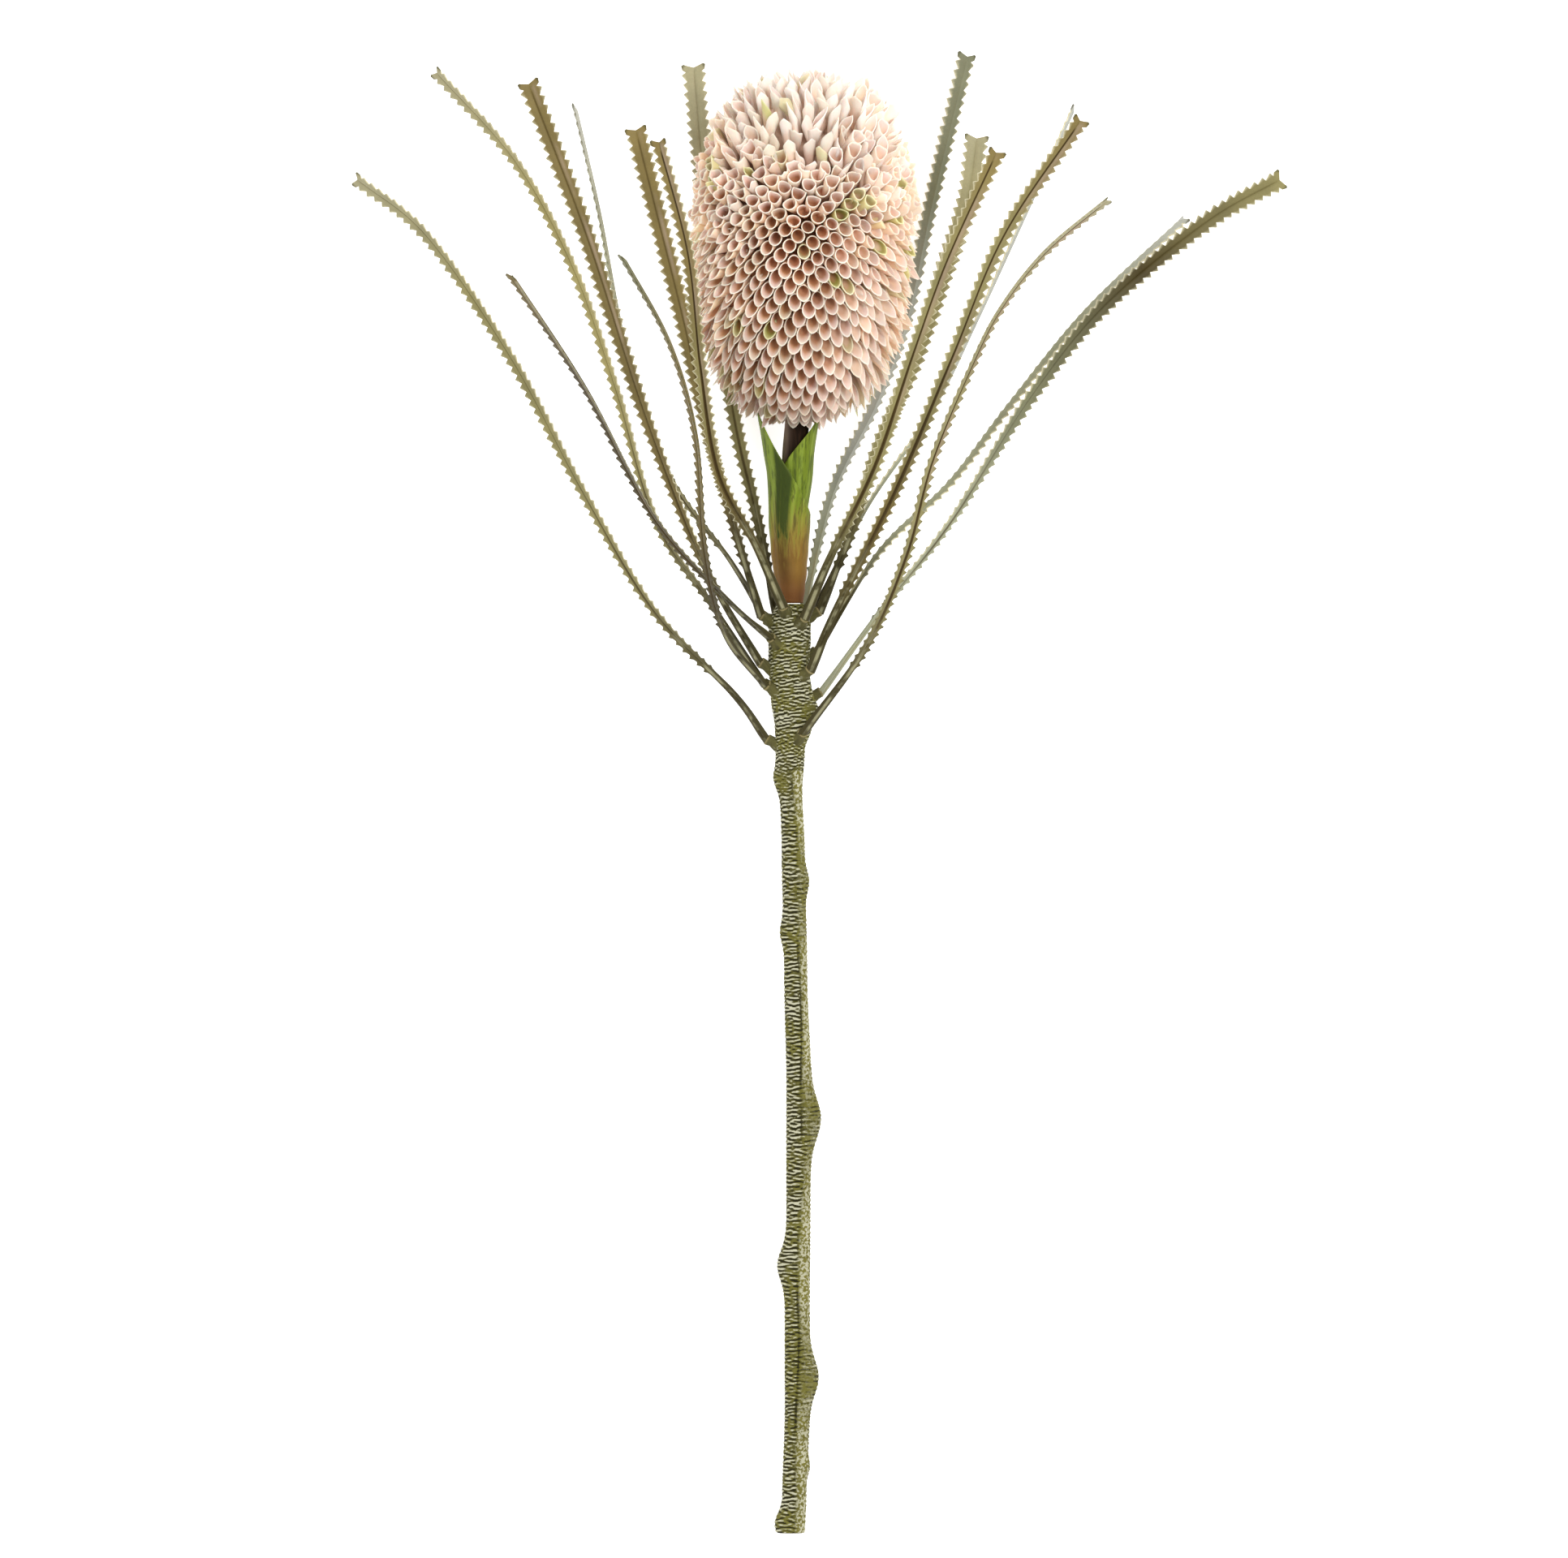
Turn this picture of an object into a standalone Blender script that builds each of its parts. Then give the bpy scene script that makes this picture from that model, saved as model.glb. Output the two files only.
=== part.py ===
"""A cut banksia flower stem, lying on a surface.

The stem runs along +Y with its flower head at the +Y end, and +Z points up from the surface.
Lengths below are in millimetres, and MM turns them into metres where a mesh is made.
The pieces are the woody stem, the brown flower stalk, two sheath leaves rolled round the stalk,
the flower head with its spiral of scoops, and 17 saw-toothed leaves.
"""

import math
import random

import bmesh
import bpy
from mathutils import Matrix, Vector

MM = 0.001
GAP = 0.3  # clearance between a piece and its seat
SEED = 11
SHARP_ANGLE = math.radians(40)  # edges sharper than this aren't shaded smooth

# The stem's axis climbs from its cut end, which lies on the surface, to the head
CUT_END_Y = -329.6
CUT_END_RADIUS = 5.8
AXIS_CLIMB = 0.0774

# Stations along the stem: place along Y, sideways place of the centre, radius
STEM_STATIONS = [
    (-329.6, -1.4, 5.8),
    (-314.0, -0.4, 5.4),
    (-274.0, 0.9, 5.6),
    (-224.0, 0.9, 5.6),
    (-188.0, 1.4, 5.4),
    (-130.0, 1.6, 5.6),
    (-80.0, 0.2, 5.2),
    (-26.0, -0.9, 5.2),
    (1.0, -1.8, 5.0),
    (19.0, -2.2, 6.5),
    (28.0, -1.1, 7.9),
    (42.0, -1.6, 9.2),
    (57.0, -2.9, 9.0),
    (68.0, -2.5, 9.4),
    (77.0, -2.3, 9.2),
    (84.0, -1.6, 6.6),
]
STEM_SIDES = 12
CUT_END_HEIGHT = CUT_END_RADIUS * math.cos(math.pi / STEM_SIDES)  # its lowest side lies flat
STEM_RING_STEP = 11.0

# Knobs on the stem: place along Y, direction round the stem in degrees, height, half length
STEM_KNOBS = [
    (-325.0, 180, 2.2, 9.0),
    (-300.0, 0, 1.2, 6.0),
    (-260.0, 0, 4.0, 15.0),
    (-210.0, 180, 3.6, 13.0),
    (-145.0, 0, 4.4, 17.0),
    (-62.0, 180, 1.6, 9.0),
    (-39.0, 0, 1.8, 9.0),
    (6.0, 180, 2.6, 9.0),
    (36.0, 20, 3.6, 8.0),
]

# Leaf cushions, the short stubs on the stem that the leaves sit on
CUSHION_LENGTH = 6.5
CUSHION_ROOT_RADIUS = 3.0
CUSHION_TIP_RADIUS = 2.1
CUSHION_SHOULDER = 0.55  # share of its length where it starts to narrow
CUSHION_SIDES = 6
CUSHION_LEAN = 1.3  # how far it leans up the stem, for each step outward
CUSHION_SINK = 5.0

# Flower stalk: place along Y, sideways place of the centre and radius, from the stem's top to the head
STALK_STATIONS = [
    (84.4, -1.6, 2.7),
    (93.0, -2.0, 3.6),
    (104.0, -2.5, 4.6),
    (121.0, -2.6, 5.2),
    (146.0, -0.6, 5.4),
    (171.5, 1.3, 5.6),
]
STALK_SIDES = 14

# Sheath leaves: outer radius along Y, wall, and each one's tip and lowest rim
SHEATH_STATIONS = [
    (84.4, 5.2),
    (91.0, 6.4),
    (99.0, 7.6),
    (108.0, 8.5),
    (121.0, 9.4),
    (140.0, 10.0),
    (172.0, 10.3),
]
SHEATH_WALL = 0.8
SHEATH_NEST_GAP = 0.6
SHEATH_COLUMNS = 16
SHEATH_TUBE_ROWS = (84.4, 93.0, 104.0, 121.0)
SHEATH_RIM_ROWS = 3
SHEATH_LEAN_POWER = 1.6
# name, tip's place along Y, lowest rim, direction of the tip, sharpness, outward lean, inset
SHEATHS = [
    ("sheath_outer", 169.5, 123.0, 168.0, 1.8, 8.5, 0.0),
    ("sheath_inner", 168.5, 127.0, 10.5, 0.85, 0.8, SHEATH_WALL + SHEATH_NEST_GAP),
]

# Flower head: a barrel whose upper and lower halves are superellipses
HEAD_BOTTOM_Y = 162.9
HEAD_LENGTH = 157.3
HEAD_RADIUS = 50.8
HEAD_WIDEST = 0.515
HEAD_LOWER_POWER = 2.6
HEAD_UPPER_POWER = 2.4
HEAD_SIDEWAYS_START = 1.05
HEAD_SIDEWAYS_CLIMB = 0.0304
CORE_DEPTH = 17.0
CORE_BOTTOM_Y = 171.9
CORE_OUTLINE = (0.06, 0.98)  # the stretch of the head's outline that the core follows, smaller
CORE_FOOT = 0.38  # how slim its lower end is, as a share of that outline
CORE_TAPER = 0.35  # share of its length over which it widens from there
CORE_SIDES = 14
CORE_RINGS = 9

# Scoops (bracts) of the head, fewer and larger than on the real one
SCOOP_COUNT = 330
SCOOP_LENGTH = 26.0
SCOOP_LENGTH_DRAW = (0.94, 1.04)
SCOOP_HALF_WIDTH = 4.8
SCOOP_RIM = 0.7  # where along its length the scoop is widest
SCOOP_ROOT_SHARE = 0.5
SCOOP_KEEL = 2.7
SCOOP_GROOVE = 1.1
SCOOP_EDGE_LIFT = 3.0
SCOOP_TIP_LIFT = 1.1
SCOOP_LEVEL = 0.583  # share of the head's length where the scoops point straight out
SCOOP_TOP_ANGLE = 6
SCOOP_BOTTOM_ANGLE = 152
SCOOP_CLEAR_RADIUS = 18.0  # none round the stalk
GOLDEN_ANGLE = math.radians(137.508)
AREA_STEPS = 400  # steps up the head when its surface is shared out

# Leaves
LEAF_TEETH = 20
LEAF_STRAP = 38.0  # smooth part above the base
LEAF_STRAP_HALF_WIDTH = 1.8
LEAF_NECK_HALF_WIDTH = 1.35  # where the teeth start
LEAF_BASE_HALF_WIDTH = 2.2
LEAF_BASE_THICKNESS = 3.0
LEAF_KNUCKLE_LENGTH = 9.0  # where the thick base ends
LEAF_KNUCKLE_THICKNESS = 2.1
LEAF_THICKNESS = 1.3
LEAF_UPPER_SHARE = 0.3  # share of the thickness that lies over the midrib's line
LEAF_FOLD = 0.9
LEAF_TOOTH_DEPTH = 2.0
LEAF_TOOTH_LEAN = 0.8
LEAF_LEAST_TOOTH = 1.2
LEAF_FULL_TEETH = 0.45  # share of the toothed part after which the teeth are full size
LEAF_TURNING = (0.25, 0.85)  # stretch of its length over which the leaf turns to its tip's roll
LEAF_WIDENING = 0.9
LEAF_HORN_LENGTH = 3.6
LEAF_HORN_OVERREACH = 1.3
PATH_STEPS = 24
HEADING_REACH = 1.0  # how far ahead and behind a path's heading is read

# name, place along Y on the stem, direction round the stem, full width, roll at the base and tip,
# then the points that the leaf passes through on the way to its tip
LEAVES = [
    ("leaf_left_1", 19, 180, 8.5, 44, 48, [(-27, 44, 34), (-62.4, 81, 37), (-95, 135.6, 37),
                                           (-125.9, 193.3, 30), (-163.6, 247.9, 14), (-195.2, 273.8, 2.4)]),
    ("leaf_left_2", 44, 200, 8.5, 50, 54, [(-37, 84, 37), (-61.7, 121.3, 43), (-79, 178.6, 50),
                                           (-98.3, 233.4, 52), (-123.8, 280.4, 50), (-159, 320, 43)]),
    ("leaf_left_3", 53, 172, 9.8, 40, 0, [(-34, 89, 50), (-48.4, 120, 62), (-69.2, 175.6, 78),
                                          (-92.3, 246.6, 88), (-117.8, 313.3, 92)]),
    ("leaf_left_4", 64, 130, 8.5, 60, 76, [(-30, 86, 66), (-61.7, 121.3, 92), (-92.3, 178.1, 120),
                                           (-124.4, 227.1, 140)]),
    ("leaf_left_5", 72, 218, 8.5, 60, 88, [(-28.6, 103.5, 25), (-56.3, 142.3, 19), (-74.6, 194.5, 14),
                                           (-87.4, 259, 9), (-98.2, 306, 7)]),
    ("leaf_left_6", 43, 150, 8.5, 50, 84, [(-31, 71, 62), (-39.8, 107.4, 94), (-43.6, 156.8, 118),
                                           (-55.3, 197.8, 132), (-75.8, 235.3, 142)]),
    ("leaf_left_7", 74, 165, 10.0, 35, 0, [(-26.6, 117, 60), (-39.1, 162.4, 80), (-48.9, 206.9, 96),
                                           (-61.2, 256, 108), (-70.3, 292.2, 114)]),
    ("leaf_left_8", 78, 105, 8.0, 10, 30, [(-17, 109, 64), (-33.9, 141.4, 86), (-41.7, 188.6, 112),
                                           (-47.1, 237.8, 128), (-59.9, 286.2, 136)]),
    ("leaf_left_9", 74, 245, 10.8, 20, 8, [(-17.2, 124.2, 21), (-26.4, 164.5, 12), (-36.1, 226.9, 8),
                                           (-41.8, 285.2, 6), (-45.3, 323.8, 4)]),
    ("leaf_right_1", 74, 295, 9.0, 145, 155, [(16.4, 133.2, 17), (35.8, 173.6, 11), (49.4, 211, 8),
                                              (60.8, 263, 6), (76.7, 328.6, 4)]),
    ("leaf_right_2", 76, 5, 11.0, -30, 0, [(26.1, 120, 45), (35.4, 150.7, 50), (52, 190.2, 54),
                                           (64.2, 226.2, 54), (76, 261.8, 52), (80.4, 290.7, 50)]),
    ("leaf_right_3", 73, 60, 9.0, -10, -28, [(15.7, 104.9, 66), (35.2, 145, 90), (51.6, 193.2, 108),
                                             (66.8, 235.2, 118), (88.4, 282.1, 122)]),
    ("leaf_right_4", 50, 45, 8.6, -20, -28, [(18.4, 82.2, 58), (44.3, 134.4, 80), (69.2, 192.9, 98),
                                             (91.9, 246.3, 108), (125.5, 296.5, 110)]),
    ("leaf_right_5", 76, 325, 8.5, 100, 92, [(32, 127.4, 24), (60, 168.6, 15), (81.3, 211.8, 11),
                                             (102.5, 258, 8), (124.2, 305.3, 7)]),
    ("leaf_right_6", 22, 60, 8.5, -40, -72, [(31.2, 65.2, 62), (48.6, 105, 88), (59.8, 146, 106),
                                             (76.9, 187.3, 118), (90, 213, 124), (110, 238.4, 128),
                                             (136.7, 260.8, 130)]),
    ("leaf_right_7", 58, 340, 8.5, 220, 242, [(37.1, 107.2, 31), (68.5, 138, 27), (95.1, 172.6, 22),
                                              (130, 215.4, 13), (173, 256.1, 4)]),
    ("leaf_right_8", 40, 355, 9.4, -54, -8, [(39.2, 83, 38), (69, 121.1, 41), (104, 175.5, 38),
                                             (137.6, 217, 30), (183.3, 254.5, 15), (216.1, 273.5, 2.6)]),
]
RESTING_LEAVES = ("leaf_left_1", "leaf_left_9", "leaf_right_1", "leaf_right_7", "leaf_right_8")

# Finishes: colour, roughness
FINISHES = {
    "stem": ((0.13, 0.12, 0.04), 0.75),
    "stalk": ((0.05, 0.025, 0.015), 0.7),
    "sheath": ((0.16, 0.32, 0.05), 0.45),
    "head": ((0.80, 0.52, 0.43), 0.6),
    "leaf": ((0.22, 0.20, 0.07), 0.5),
}


def clear_scene():
    for item in list(bpy.data.objects):
        bpy.data.objects.remove(item, do_unlink=True)


def finish(name):
    """One Principled material for a piece."""
    colour, roughness = FINISHES[name.split("_")[0]]
    material = bpy.data.materials.new(name)
    material.use_nodes = True
    shader = material.node_tree.nodes["Principled BSDF"]
    shader.inputs["Base Color"].default_value = (*colour, 1.0)
    shader.inputs["Roughness"].default_value = roughness
    shader.inputs["Metallic"].default_value = 0.0
    return material


def make_object(name, points, faces):
    """A named object from points in millimetres."""
    mesh = bpy.data.meshes.new(name)
    mesh.from_pydata([Vector(p) * MM for p in points], [], faces)
    shape = bmesh.new()
    shape.from_mesh(mesh)
    bmesh.ops.recalc_face_normals(shape, faces=shape.faces)
    shape.to_mesh(mesh)
    shape.free()
    mesh.shade_smooth()
    mesh.set_sharp_from_angle(angle=SHARP_ANGLE)
    made = bpy.data.objects.new(name, mesh)
    bpy.context.scene.collection.objects.link(made)
    return made


def loft(rings):
    """Points and faces of a closed body through rings of equal count, with flat ends."""
    count = len(rings[0])
    points = [p for level in rings for p in level]
    faces = [tuple(range(count))]
    for k in range(len(rings) - 1):
        for j in range(count):
            a = k * count + j
            b = k * count + (j + 1) % count
            faces.append((a, b, b + count, a + count))
    faces.append(tuple(range(len(points) - count, len(points))))
    return points, faces


def lift(point):
    """A point that would be under the surface, moved up to it."""
    return Vector((point.x, point.y, max(point.z, 0.0)))


def ring(centre, across, upright, radius, sides):
    """Points round a centre, in the plane of two unit vectors."""
    turns = [2 * math.pi * j / sides for j in range(sides)]
    return [centre + radius * (math.cos(a) * across + math.sin(a) * upright) for a in turns]


def between(stations, at):
    """Smooth values at one place from a list of stations whose first number is the place."""
    if at <= stations[0][0]:
        return stations[0][1:]
    for low, high in zip(stations, stations[1:]):
        if at <= high[0]:
            share = (at - low[0]) / (high[0] - low[0])
            share = share * share * (3 - 2 * share)
            return tuple(a + (b - a) * share for a, b in zip(low[1:], high[1:]))
    return stations[-1][1:]


def axis_height(y):
    """Height of the axis over the surface."""
    return CUT_END_HEIGHT + (y - CUT_END_Y) * AXIS_CLIMB


def stem_axis(y):
    sideways, radius = between(STEM_STATIONS, y)
    return Vector((sideways, y, axis_height(y))), radius


def smooth_path(points):
    """A smooth curve through points, as places at even steps along it."""
    ends = [2 * points[0] - points[1], *points, 2 * points[-1] - points[-2]]
    dense = []
    for a, b, c, d in zip(ends, ends[1:], ends[2:], ends[3:]):
        for k in range(PATH_STEPS):
            t = k / PATH_STEPS
            dense.append(
                0.5 * (2 * b + (c - a) * t + (2 * a - 5 * b + 4 * c - d) * t**2
                       + (3 * b - a - 3 * c + d) * t**3)
            )
    dense.append(points[-1].copy())
    return dense


class Path:
    """A curve that can be read by length along it."""

    def __init__(self, points):
        self.places = smooth_path(points)
        self.marks = [0.0]
        for a, b in zip(self.places, self.places[1:]):
            self.marks.append(self.marks[-1] + (b - a).length)
        self.length = self.marks[-1]

    def at(self, distance):
        distance = min(max(distance, 0.0), self.length)
        k = 1
        while k < len(self.marks) - 1 and self.marks[k] < distance:
            k += 1
        step = self.marks[k] - self.marks[k - 1]
        share = (distance - self.marks[k - 1]) / step
        return self.places[k - 1].lerp(self.places[k], share)

    def heading(self, distance):
        ahead = self.at(distance + HEADING_REACH)
        behind = self.at(distance - HEADING_REACH)
        return (ahead - behind).normalized()


def leaf_route(leaf):
    """The stem's surface point under a leaf, and the leaf's path from its seat to its tip."""
    _, height, turn, _, _, _, points = leaf
    centre, radius = stem_axis(height)
    angle = math.radians(turn)
    outward = Vector((math.cos(angle), 0.0, math.sin(angle)))
    root = centre + radius * outward
    lean = (outward + CUSHION_LEAN * Vector((0.0, 1.0, 0.0))).normalized()
    seat = root + CUSHION_LENGTH * lean
    places = [seat, *[Vector(p) for p in points]]
    places[-1] += LEAF_HORN_OVERREACH * (places[-1] - places[-2]).normalized()
    return root - CUSHION_SINK * outward, Path(places)


def cross_section(path, distance, roll):
    """Directions across the blade and out of its upper face."""
    along = path.heading(distance)
    up = Vector((0.0, 0.0, 1.0))
    face = (up - up.dot(along) * along).normalized()
    face = Matrix.Rotation(math.radians(roll), 3, along) @ face
    return along.cross(face), face


def make_stem():
    """The woody stem with its knobs, and a cushion under every leaf."""
    start, end = STEM_STATIONS[0][0], STEM_STATIONS[-1][0]
    count = round((end - start) / STEM_RING_STEP)
    rings = []
    for k in range(count + 1):
        y = start + (end - start) * k / count
        centre, radius = stem_axis(y)
        points = []
        for j in range(STEM_SIDES):
            angle = 2 * math.pi * (j + 0.5) / STEM_SIDES
            swell = 0.0
            for place, turn, height, half in STEM_KNOBS:
                facing = max(0.0, math.cos(angle - math.radians(turn)))
                swell += height * facing**2 * math.exp(-2 * ((y - place) / half) ** 2)
            reach = radius + swell
            points.append(lift(centre + reach * Vector((math.cos(angle), 0.0, math.sin(angle)))))
        rings.append(points)
    stem = make_object("stem", *loft(rings))
    cushions = bpy.data.collections.new("cushions")
    for leaf in LEAVES:
        root, path = leaf_route(leaf)
        across, face = cross_section(path, 0.0, 0)
        tip = path.at(0.0)
        middle = root.lerp(tip, CUSHION_SHOULDER)
        body = loft([
            ring(root, across, face, CUSHION_ROOT_RADIUS, CUSHION_SIDES),
            ring(middle, across, face, CUSHION_ROOT_RADIUS, CUSHION_SIDES),
            ring(tip, across, face, CUSHION_TIP_RADIUS, CUSHION_SIDES),
        ])
        cushion = make_object("cushion", *body)
        bpy.context.scene.collection.objects.unlink(cushion)
        cushions.objects.link(cushion)
    fuse(stem, cushions, "EXACT")
    return stem


def fuse(target, collection, solver):
    """One Boolean union of a collection's objects into the target, which are then removed."""
    bpy.context.scene.collection.children.link(collection)
    union = target.modifiers.new("union", "BOOLEAN")
    union.operation = "UNION"
    union.operand_type = "COLLECTION"
    union.collection = collection
    union.solver = solver
    graph = bpy.context.evaluated_depsgraph_get()
    fused = bpy.data.meshes.new_from_object(target.evaluated_get(graph))
    target.modifiers.clear()
    target.data = fused
    for item in list(collection.objects):
        bpy.data.objects.remove(item, do_unlink=True)
    bpy.data.collections.remove(collection)
    fused.set_sharp_from_angle(angle=SHARP_ANGLE)


def head_frame():
    """Origin at the head's lower end, the way up the head, and two directions across it."""
    origin = Vector((HEAD_SIDEWAYS_START, HEAD_BOTTOM_Y, axis_height(HEAD_BOTTOM_Y)))
    along = Vector((HEAD_SIDEWAYS_CLIMB, 1.0, AXIS_CLIMB)).normalized()
    across = along.cross(Vector((0.0, 0.0, 1.0))).normalized()
    return origin, along, across, across.cross(along)


def head_radius(share):
    """Outer radius of the head at a share of its length."""
    if share < HEAD_WIDEST:
        off, power = (HEAD_WIDEST - share) / HEAD_WIDEST, HEAD_LOWER_POWER
    else:
        off, power = (share - HEAD_WIDEST) / (1 - HEAD_WIDEST), HEAD_UPPER_POWER
    return HEAD_RADIUS * max(0.0, 1 - off**power) ** (1 / power)


def stalk_centre(y):
    """The stalk's axis, from the middle of the stem's top to the middle of the head's core."""
    sideways, _ = between(STALK_STATIONS, y)
    return Vector((sideways, y, axis_height(y)))


def make_stalk():
    """The flower stalk, whose flat ends lie on the stem's top and under the head's core."""
    _, _, across, upright = head_frame()
    foot, top = STALK_STATIONS[0][0], STALK_STATIONS[-1][0]
    rings = []
    for y, _, radius in STALK_STATIONS:
        share = (y - foot) / (top - foot)
        side = Vector((1, 0, 0)).lerp(across, share)
        up = Vector((0, 0, 1)).lerp(upright, share)
        rings.append(ring(stalk_centre(y), side, up, radius, STALK_SIDES))
    return make_object("stalk", *loft(rings))


def make_sheath(name, tip_y, rim_y, turn, sharpness, lean, inset):
    """A sheath leaf: a tube round the stalk whose rim rises to one pointed tip."""
    points = []
    tube_top = SHEATH_TUBE_ROWS[-1]
    rows = len(SHEATH_TUBE_ROWS) - 1 + SHEATH_RIM_ROWS
    for row in range(rows + 1):
        for column in range(SHEATH_COLUMNS):
            angle = math.radians(turn) + 2 * math.pi * column / SHEATH_COLUMNS
            off = 2 * min(column, SHEATH_COLUMNS - column) / SHEATH_COLUMNS
            top = rim_y + (tip_y - rim_y) * (1 - off) ** sharpness
            y = tube_top + (top - tube_top) * (row - rows + SHEATH_RIM_ROWS) / SHEATH_RIM_ROWS
            if row < len(SHEATH_TUBE_ROWS):
                y = SHEATH_TUBE_ROWS[row]
            (radius,) = between(SHEATH_STATIONS, y)
            free = max(0.0, (y - rim_y) / (tip_y - rim_y))
            radius += lean * free**SHEATH_LEAN_POWER - inset
            way = Vector((math.cos(angle), 0.0, math.sin(angle)))
            points.append(stalk_centre(y) + radius * way)
    faces = []
    for row in range(rows):
        for column in range(SHEATH_COLUMNS):
            a = row * SHEATH_COLUMNS + column
            b = row * SHEATH_COLUMNS + (column + 1) % SHEATH_COLUMNS
            faces.append((a, b, b + SHEATH_COLUMNS, a + SHEATH_COLUMNS))
    sheath = make_object(name, points, faces)
    wall = sheath.modifiers.new("wall", "SOLIDIFY")
    wall.thickness = SHEATH_WALL * MM
    wall.offset = -1.0
    return sheath


def scoop_places():
    """Tip place, pointing direction and back direction of every scoop."""
    origin, along, across, upright = head_frame()
    shares = [k / AREA_STEPS for k in range(AREA_STEPS + 1)]
    areas = [0.0]
    for low, high in zip(shares, shares[1:]):
        r0, r1 = head_radius(low), head_radius(high)
        slant = math.hypot((high - low) * HEAD_LENGTH, r1 - r0)
        clear = low < HEAD_WIDEST and r0 < SCOOP_CLEAR_RADIUS
        areas.append(areas[-1] + (0.0 if clear else slant * (r0 + r1) / 2))
    places = []
    k = 1
    for i in range(SCOOP_COUNT):
        wanted = areas[-1] * (i + 0.5) / SCOOP_COUNT
        while areas[k] < wanted:
            k += 1
        part = (wanted - areas[k - 1]) / (areas[k] - areas[k - 1])
        share = shares[k - 1] + (shares[k] - shares[k - 1]) * part
        angle = i * GOLDEN_ANGLE
        outward = math.cos(angle) * across + math.sin(angle) * upright
        if share > SCOOP_LEVEL:
            tilt = 90 + (SCOOP_TOP_ANGLE - 90) * (share - SCOOP_LEVEL) / (1 - SCOOP_LEVEL)
        else:
            tilt = 90 + (SCOOP_BOTTOM_ANGLE - 90) * (SCOOP_LEVEL - share) / SCOOP_LEVEL
        tilt = math.radians(tilt)
        point = math.sin(tilt) * outward + math.cos(tilt) * along
        back = math.cos(tilt) * outward - math.sin(tilt) * along
        tip = origin + share * HEAD_LENGTH * along + head_radius(share) * outward
        places.append((tip, point, back))
    return places


def make_head(random_draw):
    """The core of the head with its scoops fused to it; what would sink under the surface lies on it."""
    origin, along, across, upright = head_frame()
    rings = []
    bottom = (CORE_BOTTOM_Y - HEAD_BOTTOM_Y) / HEAD_LENGTH
    top = 1 - CORE_DEPTH / HEAD_LENGTH
    for k in range(CORE_RINGS + 1):
        share = bottom + (top - bottom) * (1 - math.cos(math.pi * k / CORE_RINGS)) / 2
        squeezed = (share - bottom) / (top - bottom)
        followed = CORE_OUTLINE[0] + (CORE_OUTLINE[1] - CORE_OUTLINE[0]) * squeezed
        slim = CORE_FOOT + (1 - CORE_FOOT) * min(1.0, squeezed / CORE_TAPER)
        radius = slim * (HEAD_RADIUS - CORE_DEPTH) / HEAD_RADIUS * head_radius(followed)
        centre = origin + share * HEAD_LENGTH * along
        rings.append(ring(centre, across, upright, radius, CORE_SIDES))
    head = make_object("head", *loft(rings))
    scoops = bpy.data.collections.new("scoops")
    for tip, point, back in scoop_places():
        length = SCOOP_LENGTH * random_draw.uniform(*SCOOP_LENGTH_DRAW)
        side = point.cross(back)
        root = tip - length * point
        sections = []
        for share, size in ((0.0, SCOOP_ROOT_SHARE), (SCOOP_RIM, 1.0)):
            centre = root + share * length * point
            sections.append([
                centre + size * (-SCOOP_HALF_WIDTH * side - SCOOP_EDGE_LIFT * back),
                centre + size * SCOOP_KEEL * back,
                centre + size * (SCOOP_HALF_WIDTH * side - SCOOP_EDGE_LIFT * back),
                centre + size * SCOOP_GROOVE * back,
            ])
        points = [*sections[0], *sections[1], tip + SCOOP_TIP_LIFT * back]
        points = [lift(p) for p in points]
        faces = [(0, 1, 2, 3)]
        for j in range(4):
            following = (j + 1) % 4
            faces.append((j, following, following + 4, j + 4))
            faces.append((j + 4, following + 4, 8))
        scoop = make_object("scoop", points, faces)
        bpy.context.scene.collection.objects.unlink(scoop)
        scoops.objects.link(scoop)
    fuse(head, scoops, "MANIFOLD")
    return head


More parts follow.
